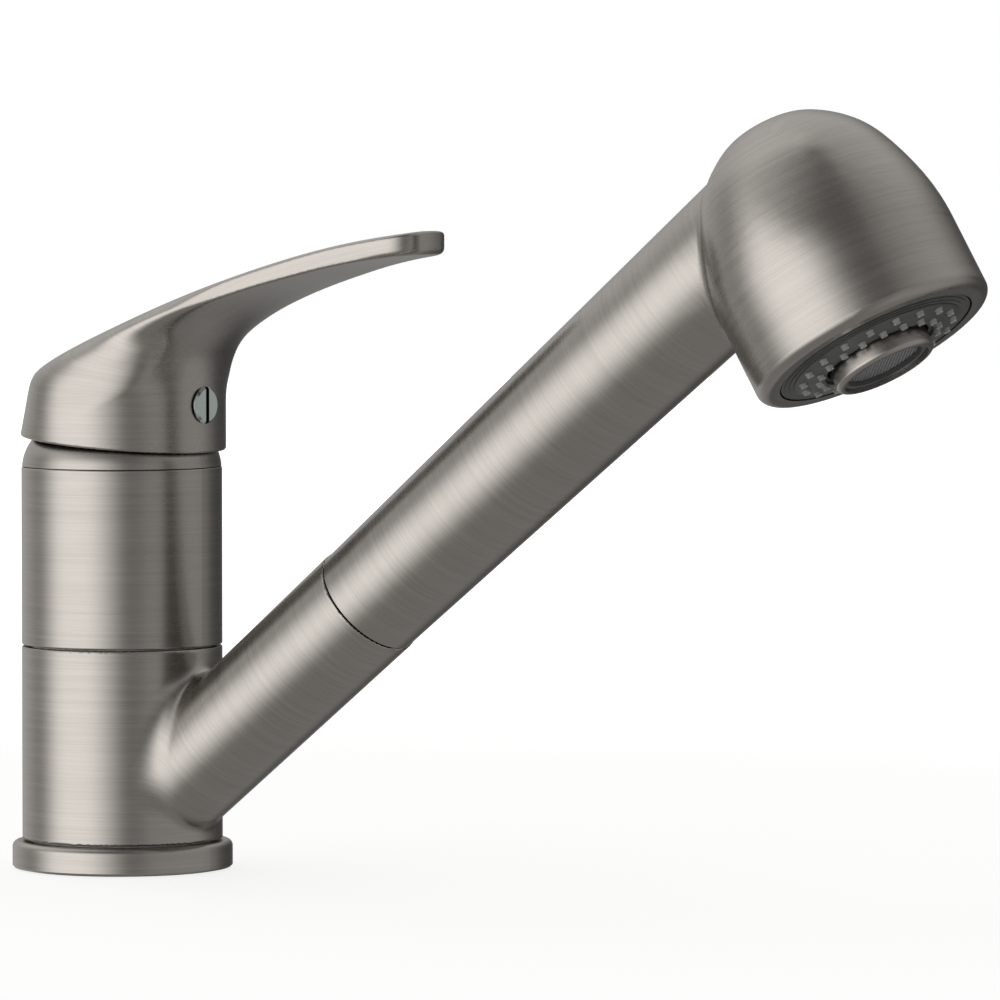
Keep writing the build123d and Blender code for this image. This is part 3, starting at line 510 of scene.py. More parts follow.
# ---- mesh kit
OUTSIDE_IN = [0, 3, 2, 1]  # order of a face's corners that turns it over


def tube_faces(rings: int, count: int) -> Array:
    """Four-sided faces between closed rings of vertices.

    Args:
        rings: How many rings, numbered one after another.
        count: How many vertices a ring has.

    Returns:
        Array (faces, 4), ring by ring.
    """
    row = np.arange(rings - 1)[:, None] * count
    column = np.arange(count)
    after = (column + 1) % count
    corners = [row + column, row + after, row + count + after, row + count + column]
    return np.stack(corners, -1).reshape(-1, 4)


def sweep_grid(name: str, points: Array, material: Material) -> Piece:
    """Make a closed object from rings.

    Args:
        name: The piece's name.
        points: Array (rings, points on a ring, 3). Each ring is closed, and the first and last are
            capped with a fan about their middle.
        material: Its material.

    Returns:
        The object, smooth shaded.
    """
    rings, count, _ = points.shape
    vertices = np.concatenate([points.reshape(-1, 3), points[[0, -1]].mean(axis=1)])
    spin = np.arange(count)
    turn = (spin + 1) % count
    last = (rings - 1) * count
    first_fan = np.stack([np.full(count, rings * count), turn, spin], -1)
    last_fan = np.stack([np.full(count, rings * count + 1), last + spin, last + turn], -1)
    return mesh_object(name, vertices, [tube_faces(rings, count), first_fan, last_fan], material)


def mesh_object(name: str, vertices: Array, blocks: list[Array], material: Material) -> Piece:
    """Make an object from arrays.

    Args:
        name: The piece's name.
        vertices: Array (vertices, 3), in metres.
        blocks: Arrays of faces, each with one number of corners.
        material: Its material.

    Returns:
        The object, smooth shaded, linked into the scene.
    """
    mesh = bpy.data.meshes.new(name)
    loops = np.concatenate([b.ravel() for b in blocks]).astype(np.int32)
    sizes = np.concatenate([np.full(len(b), b.shape[1]) for b in blocks]).astype(np.int32)
    starts = np.concatenate([[0], np.cumsum(sizes)[:-1]]).astype(np.int32)
    mesh.vertices.add(len(vertices))
    mesh.vertices.foreach_set("co", np.asarray(vertices, np.float32).ravel())
    mesh.loops.add(len(loops))
    mesh.loops.foreach_set("vertex_index", loops)
    mesh.polygons.add(len(sizes))
    mesh.polygons.foreach_set("loop_start", starts)
    mesh.polygons.foreach_set("use_smooth", np.ones(len(sizes), bool))
    mesh.update(calc_edges=True)
    mesh.validate()
    mesh.materials.append(material)
    piece = bpy.data.objects.new(name, mesh)
    bpy.context.scene.collection.objects.link(piece)
    return piece


@dataclass(frozen=True)
class Thread:
    """The helical ridge of a screw thread on the wall of a bore."""

    radius: float
    pitch: float
    length: float
    steps: int = 40
    inset: float = 0.6
    root: float = 0.04 * MM

    @property
    def depth(self) -> float:
        """Height of the ridge: 0.54 of the pitch, as on a metric thread."""
        return 0.54 * self.pitch

    def ridge(self, name: str, bore: Turned, material: Material) -> Piece:
        """Build the ridge.

        A triangle with a flat crest is carried along a helix from the bore's mouth inwards. Its height
        grows from nothing over the first half turn and dies away over the last.

        Args:
            name: The piece's name.
            bore: Centre of the bore's mouth and direction into it.
            material: Its material.

        Returns:
            The piece.
        """
        turns = self.length / self.pitch - 2.0 * self.inset
        t = np.linspace(0.0, 1.0, int(turns * self.steps))
        angle = 2.0 * math.pi * turns * t
        grow = np.clip(np.minimum(t, 1.0 - t) * turns / 0.5, 0.03, 1.0)[:, None]
        outward = self.root * np.array([1.0, 0.0, 0.0, 1.0])
        inward = self.depth * np.array([0.0, 1.0, 1.0, 0.0])
        profile = np.array([-0.44, -0.09, 0.09, 0.44]) * self.pitch
        radius = self.radius + outward - inward * grow
        along = angle / (2.0 * math.pi) * self.pitch + self.inset * self.pitch
        height = along[:, None] + profile * grow
        local = np.stack([radius * np.cos(angle)[:, None], radius * np.sin(angle)[:, None], height], -1)
        return sweep_grid(name, bore.carry(local)[:, ::-1], material)


@dataclass(frozen=True)
class WireScreen:
    """A round of plain-woven wire."""

    radius: float = 9.35 * MM
    pitch: float = 0.62 * MM
    wire: float = 0.11 * MM
    sides: int = 5

    def strands(self) -> Array:
        """Rings of all the wires of one direction, one wire after another.

        A wire at offset c runs along its chord of the round; its height is wire times a cosine that
        changes sign at each crossing, and neighbours run in opposite phase.

        Returns:
            Array (wires, rings, sides, 3) about the screen's centre.
        """
        reach = int((self.radius - self.wire) / self.pitch)
        number = np.arange(-reach, reach + 1)
        offset = number * self.pitch
        half = np.sqrt(np.maximum(self.radius**2 - offset**2, 0.0))
        run = np.linspace(-1.0, 1.0, 4 * len(number) + 1)[None, :] * half[:, None]
        phase = np.where(number % 2 == 0, 1.0, -1.0)[:, None]
        lift = 0.55 * self.wire * 2.0 * phase * np.cos(math.pi * run / self.pitch)
        turn = 2.0 * math.pi * np.arange(self.sides) / self.sides
        x = np.broadcast_to(run[:, :, None], (*run.shape, self.sides))
        y = offset[:, None, None] + self.wire * np.cos(turn) + 0.0 * x
        z = lift[:, :, None] + self.wire * np.sin(turn)
        return np.stack([x, y, z], -1)

    def woven(self, name: str, seat: Turned, material: Material) -> Piece:
        """Build the screen: the warp, and the same wires turned by a quarter with the phase reversed.

        Args:
            name: The piece's name.
            seat: Its centre and axis.
            material: Its material.

        Returns:
            The piece.
        """
        warp = self.strands()
        weft = np.stack([warp[..., 1], warp[..., 0], -warp[..., 2]], -1)[:, :, ::-1]
        both = np.concatenate([warp, weft])
        wires, rings, sides, _ = both.shape
        first = np.arange(wires)[:, None] * rings * sides
        walls = first[:, :, None] + tube_faces(rings, sides)[:, OUTSIDE_IN]
        start = first + np.arange(sides)
        finish = start[:, ::-1] + (rings - 1) * sides
        vertices = seat.carry(both.reshape(-1, 3))
        return mesh_object(name, vertices, [walls.reshape(-1, 4), start, finish], material)


# ---- blending kit
def soft_max(first: Any, second: Any, reach: Any) -> Any:
    """Larger of two distances, negative inside, rounded where they meet: the solids' intersection.

    Where they differ by less than the reach, a parabola is added that is a quarter of the reach high
    in the middle, which gives an edge of about that radius.
    """
    near = np.maximum(reach - np.abs(first - second), 0.0)
    return np.maximum(first, second) + near * near / (4.0 * reach)


def soft_min(first: Any, second: Any, reach: Any) -> Any:
    """Smaller of two distances, filled where they meet, as soft_max rounds: the solids' union."""
    return -soft_max(-first, -second, reach)


def ease(value: Any, low: float, high: float) -> Any:
    """Smooth step from 0 at low to 1 at high."""
    t = np.clip((value - low) / (high - low), 0.0, 1.0)
    return t * t * (3.0 - 2.0 * t)


def spline(knots: Sequence[Pair], start: Any = None, end: Any = None, count: int = 400) -> Array:
    """Smooth curve through knots.

    A cubic in chord length runs between neighbours, with the slopes solved so that the bend is
    continuous; an end with no given direction is unbent.

    Args:
        knots: The points.
        start: Direction at the first knot.
        end: Direction at the last knot.
        count: How many points to return.

    Returns:
        Array (count, 2) of points.
    """
    points = np.asarray(knots, float)
    gaps = np.linalg.norm(np.diff(points, axis=0), axis=1)
    rates = np.diff(points, axis=0) / gaps[:, None]
    last = len(points) - 1
    system, target = np.zeros((last + 1, last + 1)), np.zeros_like(points)
    inner = np.arange(1, last)
    system[inner, inner - 1], system[inner, inner + 1] = gaps[1:], gaps[:-1]
    system[inner, inner] = 2.0 * (gaps[1:] + gaps[:-1])
    target[1:-1] = 3.0 * (gaps[1:, None] * rates[:-1] + gaps[:-1, None] * rates[1:])
    for row, near, way in ((0, slice(0, 2), start), (-1, slice(None, -3, -1), end)):
        unbent = (2.0, 1.0), 3.0 * rates[row]
        system[row, near], target[row] = unbent if way is None else ((1.0, 0.0), unit(way))
    slopes = np.linalg.solve(system, target)
    along = np.concatenate([[0.0], np.cumsum(gaps)])
    at = np.linspace(0.0, along[-1], count)
    k = np.clip(np.searchsorted(along, at, side="right") - 1, 0, last - 1)
    t = ((at - along[k]) / gaps[k])[:, None]
    bend = slopes[k] * gaps[k, None], slopes[k + 1] * gaps[k, None]
    first = points[k] * (1 + 2 * t) * (1 - t) ** 2 + bend[0] * t * (1 - t) ** 2
    return first + points[k + 1] * t * t * (3 - 2 * t) + bend[1] * t * t * (t - 1)


class Blank:
    """A solid given by a distance field in millimetres, turned into a mesh of four-sided faces."""

    low: Triple
    high: Triple
    cell: float = 0.6

    def distance(self, x: Array, y: Array, z: Array) -> Array:
        """Distance to the surface, negative inside."""
        raise NotImplementedError

    def slope(self, points: Array, reach: float = 0.04) -> Array:
        """Slope of the distance at points, from differences to both sides."""
        steps = reach * np.eye(3)
        sides = [self.distance(*(points + s).T) - self.distance(*(points - s).T) for s in steps]
        return np.stack(sides, -1) / (2.0 * reach)

    def net(self) -> tuple[Array, Array]:
        """Lay a net over the surface.

        The box is cut into cells. Each cell that the surface passes through gets a vertex at the mean
        of the places where the surface cuts its edges, and each cut edge gets a face of the four cells
        round it. Then each vertex goes down the slope onto the surface.

        Returns:
            The vertices and the faces.
        """
        axes = [np.arange(lo, hi + self.cell, self.cell) for lo, hi in zip(self.low, self.high)]
        value = self.distance(axes[0][:, None, None], axes[1][None, :, None], axes[2][None, None, :])
        inside = value < 0.0
        shape = tuple(n - 1 for n in value.shape)
        total, number = np.zeros((math.prod(shape), 3)), np.zeros(math.prod(shape), int)
        cuts = []
        for axis in range(3):
            ahead = tuple(slice(int(n == axis), None) for n in range(3))
            behind = tuple(slice(None, -1 if n == axis else None) for n in range(3))
            where = np.argwhere(inside[ahead] != inside[behind])
            index = tuple(where.T)
            v0, v1 = value[behind][index], value[ahead][index]
            spot = np.stack([axes[n][where[:, n]] for n in range(3)], -1)
            spot[:, axis] += self.cell * v0 / (v0 - v1)
            ring = []
            for db, dc in ((-1, -1), (0, -1), (0, 0), (-1, 0)):
                near = where + np.roll((0, db, dc), axis)
                ring.append(np.ravel_multi_index(tuple(near.T), shape))
                np.add.at(total, ring[-1], spot)
                np.add.at(number, ring[-1], 1)
            ring = np.stack(ring, -1)
            cuts.append(np.where((v0 < 0.0)[:, None], ring, ring[:, ::-1]))
        used = np.flatnonzero(number)
        order = np.full(number.size, -1)
        order[used] = np.arange(len(used))
        vertices = total[used] / number[used, None]
        for _ in range(4):
            slope = self.slope(vertices)
            step = self.distance(*vertices.T)[:, None] * slope / np.maximum((slope**2).sum(1), 0.2)[:, None]
            vertices = vertices - np.clip(step, -0.5 * self.cell, 0.5 * self.cell)
        return vertices, order[np.concatenate(cuts)]

    def cast(self, name: str, material: Material) -> Piece:
        """Make the object, with its normals taken from the field's slope.

        Args:
            name: The piece's name.
            material: Its material.

        Returns:
            The piece.
        """
        vertices, faces = self.net()
        slope = self.slope(vertices)
        normals = slope / np.linalg.norm(slope, axis=1)[:, None]
        piece = mesh_object(name, vertices * MM, [faces], material)
        piece.data.normals_split_custom_set_from_vertices(normals.tolist())
        return piece


@dataclass
class LeverBlank(Blank):
    """The lever handle: a round cap that runs out into a flat arm, hollow under the cap.

    The outside is the space under the crest line, over the rim, within the plan outline and outside
    the flare that the neck follows, each met with its own rounding.
    """

    low: Triple = (-27.5, -27.0, 102.5)
    high: Triple = (96.5, 27.0, 161.5)
    cell: float = 0.5
    cap_r: float = 26.0
    wall: float = 1.3
    lean: float = 0.31
    rim_z: float = 104.05
    rim_rise: float = 0.09
    side_turn: float = math.radians(10.4)
    tip_x: float = 95.3
    tip_bulge: float = 30.0
    crest: tuple[Pair, ...] = (
        (-34.0, 116.3), (-15.2, 125.1), (-1.1, 131.9), (9.4, 136.4), (24.0, 142.0), (54.0, 151.6),
        (78.0, 157.2), (97.0, 159.8),
    )
    crown_r: float = 90.0
    neck: tuple[Pair, ...] = (
        (26.0, 118.0), (27.0, 126.7), (35.3, 136.3), (51.0, 144.0), (66.0, 148.5), (74.0, 150.5),
        (84.0, 152.4), (96.0, 154.0),
    )
    neck_foot_z: float = 90.0
    neck_leaves: Pair = (1.0, 0.14)
    neck_end: Pair = (130.0, 158.76)
    side_drop: float = 5.0
    top_edge: Triple = (1.0, 1.6, 5.6)
    under_edge: Triple = (0.05, 0.7, 6.5)
    tip_edge: float = 5.5
    rim_edge: float = 0.7
    hole_edge: float = 0.4
    roof: tuple[Pair, ...] = ((-28.0, 110.9), (-6.0, 120.0), (30.0, 121.4))
    boss_r: float = 8.5
    boss_z: float = 111.0
    web: Pair = (13.0, 6.0)
    socket: Triple = (4.56, 3.61, 121.6)
    screw_z: float = 116.0
    screw_r: float = 2.5
    plug_r: float = 3.4
    plug_x: float = 21.9

    def plan(self, x: Array, y: Array, z: Array, wall: float = 0.0) -> Array:
        """Distance to the plan outline: a circle, leaning in at the back, and flat sides tangent to it."""
        radius = self.cap_r - wall
        depth = radius - self.lean * (z - self.rim_z)
        stretch = np.where(x < 0.0, radius / depth, 1.0)
        round_part = np.hypot(x * stretch, y) - radius
        if wall:
            return round_part
        cosine, sine = math.cos(self.side_turn), math.sin(self.side_turn)
        flat_part = x * sine + np.abs(y) * cosine - radius
        return np.where(x * cosine - np.abs(y) * sine > 0.0, flat_part, round_part)

    def outside(self, x: Array, y: Array, z: Array) -> Array:
        """Distance to the outer skin.

        The top edge is sharp along the arm and round on the cap. The edge under the arm is sharp low
        on the neck, widest where the neck runs out into the arm, and small along it.
        """
        crest = spline(self.crest)
        crest_rate = np.interp(x, crest[:, 0], np.gradient(crest[:, 1], crest[:, 0]))
        raised = z - np.interp(x, *crest.T) + y * y / (2.0 * self.crown_r)
        over = raised / np.hypot(1.0, crest_rate)
        curve = spline(self.neck, (0.0, 1.0), self.neck_leaves)
        neck_r, neck_z = np.concatenate([[(self.cap_r, self.neck_foot_z)], curve, [self.neck_end]]).T
        early = z + self.side_drop * ease(np.abs(y), 8.0, 22.0) * (1.0 - ease(z, 120.0, 134.0))
        neck_rate = np.interp(early, neck_z, np.gradient(neck_r, neck_z))
        flare = (np.hypot(x, y) - np.interp(early, neck_z, neck_r)) / np.hypot(1.0, neck_rate)
        end = x - self.tip_x + y * y / (2.0 * self.tip_bulge)
        body = soft_max(self.plan(x, y, z), end, self.tip_edge)
        least, back, front = self.top_edge
        shoulder = 1.0 - ease(x, 6.0, 48.0)
        body = soft_max(body, over, least + shoulder * (back + front * ease(x, -16.0, 2.0)))
        least, arm, bend = self.under_edge
        grown = ease(z, 113.0, 127.0) * (arm + bend * (1.0 - ease(z, 130.0, 144.0)))
        body = soft_max(body, flare, least + grown + ease(x, 78.0, 90.0))
        rim = (self.rim_z + self.rim_rise * (self.cap_r - x) - z) / math.hypot(1.0, self.rim_rise)
        return soft_max(body, rim, self.rim_edge)

    def distance(self, x: Array, y: Array, z: Array) -> Array:
        """Distance to the lever: the outside less the cap's hollow, the stem's socket and the screw holes."""
        roof_gap = z - np.interp(x, *np.asarray(self.roof).T)
        hollow = np.maximum(self.plan(x, y, z, self.wall), roof_gap)
        half, thick = self.web
        web = np.maximum(np.abs(x - half) - half, np.abs(y) - thick)
        boss = np.minimum(np.hypot(x, y) - self.boss_r, web)
        hollow = np.maximum(hollow, -np.maximum(boss, self.boss_z - z))
        half_x, half_y, top = self.socket
        socket = np.maximum(np.maximum(np.abs(x) - half_x, np.abs(y) - half_y), z - top)
        across = np.hypot(y, z - self.screw_z)
        screw = np.maximum(across - self.screw_r, -x)
        plug = np.maximum(across - self.plug_r, self.plug_x - x)
        holes = np.minimum(np.minimum(hollow, socket), np.minimum(screw, plug))
        return soft_max(self.outside(x, y, z), -holes, self.hole_edge)


@dataclass
class SpoutBlank(Blank):
    """The spout: a sleeve round the column that runs out into a tapered tube, both bored.

    The fillet between them is small under the tube, wider at its flanks and widest on top of it.
    """

    low: Triple = (-25.8, -25.8, 6.6)
    high: Triple = (86.4, 25.8, 82.0)
    cell: float = 0.62
    sleeve_r: float = 25.0
    sleeve_low: float = 7.4
    sleeve_high: float = 55.6
    sleeve_bore_r: float = 20.61
    seat_r: float = 23.0
    low_seat: float = 8.58
    high_seat: float = 54.42
    tube_r: float = 14.1
    tube_flare: float = 0.0094
    tube_length: float = 97.5
    cone_length: float = 80.0
    mouth: float = -0.2
    tube_bore_r: float = 11.9
    bush_r: float = 12.7
    bush_depth: float = 27.1
    fillet: Triple = (1.2, 4.4, 6.2)
    free_r: float = 30.0
    end_edge: float = 0.45
    hole_edge: float = 0.3

    def distance(self, x: Array, y: Array, z: Array) -> Array:
        """Distance to the spout: sleeve and tube, filleted, cut off at their ends, less their bores."""
        reach = np.hypot(x, y)
        cosine, sine = math.cos(SPOUT_RISE), math.sin(SPOUT_RISE)
        from_dock = x - DOCK[0] / MM, z - DOCK[2] / MM
        height = from_dock[0] * cosine + from_dock[1] * sine
        rise = from_dock[1] * cosine - from_dock[0] * sine
        off = np.hypot(y, rise)
        tube = off - self.tube_r - self.tube_flare * np.maximum(height + self.cone_length, 0.0)
        tube = np.maximum(tube, -height - self.tube_length)
        under, beside, above = self.fillet
        turn = rise / np.maximum(off, 1.0)
        fillet = under + (beside - under) * ease(turn, -1.0, 0.0) + (above - beside) * ease(turn, 0.0, 1.0)
        skin = soft_min(reach - self.sleeve_r, tube, fillet)
        over = np.maximum(self.sleeve_high - z, reach - self.free_r)
        ends = soft_max(-over, self.sleeve_low - z, 0.1)
        skin = soft_max(soft_max(skin, ends, self.end_edge), height - self.mouth, self.hole_edge)
        seats = np.minimum(z - self.low_seat, self.high_seat - z)
        bore = np.minimum(reach - self.sleeve_bore_r, np.maximum(reach - self.seat_r, seats))
        way = np.minimum(off - self.tube_bore_r, np.maximum(off - self.bush_r, -self.bush_depth - height))
        way = np.maximum(way, -height - self.tube_length)
        return soft_max(skin, -np.minimum(bore, way), self.hole_edge)


def dress(names: Sequence[str], material: Material) -> None:
    """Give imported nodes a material.

    Args:
        names: The nodes.
        material: The material.
    """
    for name in names:
        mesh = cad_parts[name].data
        mesh.materials.clear()
        mesh.materials.append(material)
        log.info("dressed %s in %s", name, material.name)


def place(piece: Piece, body: str, slot: str, *stands_for: str) -> None:
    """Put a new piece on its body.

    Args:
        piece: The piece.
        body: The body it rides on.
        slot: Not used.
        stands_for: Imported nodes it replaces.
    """
    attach(piece, body)
    if stands_for:
        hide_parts(*stands_for)
    log.info("%s: %d faces, rides on %s", piece.name, len(piece.data.polygons), body)


# ---- sub-assemblies
NICKEL = Nickel()
ABOUT_COLUMN = Turned()
ABOUT_SPOUT = Turned(DOCK, SPOUT_AXIS)
ABOUT_HEAD = Turned(FACE, INTO_HEAD, slant=-1.0)
FROM_HEAD = Turned(FACE, INTO_HEAD)
BRASS: Triple = (0.62, 0.47, 0.23)
STEEL: Triple = (0.55, 0.55, 0.54)
GREY_PLASTIC: Triple = (0.22, 0.23, 0.24)
WHITE_PLASTIC: Triple = (0.78, 0.78, 0.75)
BLACK_RUBBER: Triple = (0.028, 0.028, 0.028)


@dataclass
class Column:
    """The fixed body, its base ring, gasket, glide rings and dome cap, and the threads in its ports."""

    stud_centre: Triple = (-12.5 * MM, 0.0, 0.3 * MM)
    stud_thread: Thread = Thread(4.0 * MM, 1.25 * MM, 18.0 * MM)
    ports: tuple[tuple[str, float, float], ...] = (
        ("hot_port_thread", 1.5 * MM, 8.5 * MM),
        ("cold_port_thread", 1.5 * MM, -8.5 * MM),
        ("spray_port_thread", 9.0 * MM, 0.0),
    )
    port_height: float = 58.0 * MM
    port_thread: Thread = Thread(4.5 * MM, 1.0 * MM, 6.0 * MM)

    def build(self) -> None:
        """Dress the nodes and cut the threads."""
        dress(["base_ring", "fixed_body", "dome_cap"], NICKEL.turned("nickel_about_column", ABOUT_COLUMN))
        dress(["base_gasket"], Rubber(BLACK_RUBBER).material("gasket_rubber"))
        dress(["upper_glide_ring", "lower_glide_ring"], Moulded(WHITE_PLASTIC).material("acetal_white"))
        brass = Machined(BRASS, ABOUT_COLUMN).material("brass_threads")
        stud = self.stud_thread.ridge("stud_thread", Turned(self.stud_centre), brass)
        place(stud, "column", "brushed_nickel")
        for name, x, y in self.ports:
            ridge = self.port_thread.ridge(name, Turned((x, y, self.port_height)), brass)
            place(ridge, "column", "brushed_nickel")


@dataclass
class Cartridge:
    """The mixing cartridge in the column, with its ceramic discs and the rotor that the lever turns."""

    def build(self) -> None:
        """Dress the nodes."""
        dress(["cartridge_nut"], Machined(BRASS, ABOUT_COLUMN).material("brass_nut"))
        grey = Moulded(GREY_PLASTIC).material("cartridge_grey")
        dress(["cartridge_base", "cartridge_housing", "cartridge_rotor"], grey)
        dress(["disc_carrier"], Moulded(WHITE_PLASTIC).material("carrier_white"))
        dress(["fixed_disc", "moving_disc"], Ceramic().material("disc_ceramic"))
        dress(["port_seals"], Rubber(BLACK_RUBBER).material("port_seal_rubber"))
        pin_axis = Turned((0.0, 0.0, 95.0 * MM), Y_AXIS)
        dress(["hinge_pin"], Machined(STEEL, pin_axis).material("pin_steel"))


@dataclass
class Lever:
    """The lever handle, its stem, its set screw and the plug that hides the screw."""

    plug_height: float = 116.0 * MM
    arm_start: Pair = (18.0 * MM, 34.0 * MM)

    def arm_share(self, place: Term) -> Term:
        """1 on the arm, 0 on the cap."""
        return place.dot(X_AXIS).step(*self.arm_start)

    def build(self) -> None:
        """Dress the nodes."""
        nickel = NICKEL.parted("nickel_lever", ABOUT_COLUMN, Drawn(), self.arm_share)
        place(LeverBlank().cast("lever_casting", nickel), "lever", "brushed_nickel", "lever_handle")
        dress(["lever_stem"], Machined(BRASS, ABOUT_COLUMN).material("brass_stem"))
        screw_axis = Turned((0.0, 0.0, self.plug_height), X_AXIS)
        dress(["set_screw"], Machined(STEEL, screw_axis).material("screw_steel"))
        dress(["screw_plug"], Polished().material("nickel_polished"))


@dataclass
class Spout:
    """The swivelling spout: the sleeve round the column and the tube that the handset docks in."""

    column_radius: float = 25.0 * MM
    turn_over: Pair = (0.2 * MM, 2.6 * MM)

    def tube_share(self, place: Term) -> Term:
        """1 on the tube, 0 on the sleeve."""
        return ABOUT_COLUMN.parts(place)[3].step(*(self.column_radius + over for over in self.turn_over))

    def build(self) -> None:
        """Dress the nodes."""
        nickel = NICKEL.parted("nickel_spout", ABOUT_COLUMN, ABOUT_SPOUT, self.tube_share)
        place(SpoutBlank().cast("spout_casting", nickel), "spout", "brushed_nickel", "spout_body")
        dress(["dock_bush"], Moulded(WHITE_PLASTIC).material("bush_white"))


@dataclass
class Handset:
    """The pull-out spray handset, with its hose connector, check valve and waterway."""

    grip_low: float = 14.6 * MM
    grip_high: float = 17.15 * MM
    grip_length: float = 152.0 * MM
    hose_thread: Thread = Thread(7.0 * MM, 1.0 * MM, 10.0 * MM)
    spigot: float = 24.0 * MM

    def head_share(self, place: Term) -> Term:
        """1 on the spray head, 0 on the grip.

        The grip is where the distance from its axis is that of its cone, short of the head.
        """
        height, _, _, radius = ABOUT_SPOUT.parts(place)
        cone = self.grip_low + height * ((self.grip_high - self.grip_low) / self.grip_length)
        return abs(radius - cone).step(0.2 * MM, 1.6 * MM)

    def build(self) -> None:
        """Dress the nodes and cut the hose thread."""
        dress(["handset_shell"], NICKEL.parted("nickel_handset", ABOUT_SPOUT, ABOUT_HEAD, self.head_share))
        brass = Machined(BRASS, ABOUT_SPOUT).material("brass_connector")
        dress(["hose_connector"], brass)
        white = Moulded(WHITE_PLASTIC).material("valve_white")
        dress(["check_valve", "valve_poppet", "waterway"], white)
        dress(["hose_washer", "inlet_seal"], Rubber(BLACK_RUBBER).material("washer_rubber"))
        mouth = np.asarray(DOCK) - self.spigot * unit(SPOUT_AXIS)
        ridge = self.hose_thread.ridge("hose_thread", Turned(tuple(mouth), SPOUT_AXIS), brass)
        place(ridge, "handset", "plain_brass")


@dataclass
class SprayFace:
    """What fills the head's mouth: spray chamber, face plate, soft nozzles and the spray changer."""

    screen_depth: float = 3.55 * MM
    screen: WireScreen = WireScreen()
    nozzle_grey: Triple = (0.40, 0.41, 0.39)
    aerator_grey: Triple = (0.10, 0.10, 0.105)
    screen_grey: Triple = (0.42, 0.42, 0.43)
    plate_grey: Triple = (0.075, 0.078, 0.072)

    def build(self) -> None:
        """Dress the nodes and weave the screen."""
        dress(["spray_chamber"], Moulded(GREY_PLASTIC).material("chamber_grey"))
        dress(["face_plate"], self.plate_material())
        dress(["nozzle_mat"], Rubber(self.nozzle_grey, 0.45).material("nozzle_silicone"))
        dress(["diverter_collar"], NICKEL.turned("nickel_collar", FROM_HEAD))
        dress(["diverter_spool"], Moulded(WHITE_PLASTIC).material("spool_white"))
        dress(["spool_seals"], Rubber(BLACK_RUBBER).material("spool_seal_rubber"))
        dress(["aerator_body"], Moulded(self.aerator_grey).material("aerator_grey"))
        steel = Machined(self.screen_grey, ABOUT_HEAD, roughness=0.35).material("screen_steel")
        middle = np.asarray(FACE) - unit(INTO_HEAD) * self.screen_depth
        screen = self.screen.woven("wire_screen", Turned(tuple(middle), INTO_HEAD), steel)
        place(screen, "diverter", "mesh_steel", "aerator_mesh")

    def plate_material(self) -> Material:
        """Satin dark plate with turning rings about the head's axis."""
        surface = Surface("plate_dark")
        across, u, w = FROM_HEAD.stroke(surface.place)
        rings = surface.noise(surface.combine(across * 1500.0, u * 50.0, w * 50.0), detail=3.0)
        cloud = surface.speckle(120.0, 3.0)
        tone = (rings * 0.6 + cloud * 0.4).step(0.3, 0.7)
        colour = surface.tint(tone, self.plate_grey, 0.8, 1.25)
        normal = surface.bump(rings, 6.0e-6)
        return surface.set(Base_Color=colour, Roughness=0.3 + 0.12 * cloud, Normal=normal, IOR=1.5)


# ---- studio
class Side(Enum):
    """Which rays see which side of the studio."""

    CAMERA = "Is Camera Ray"
    GLOSSY = "Is Glossy Ray"


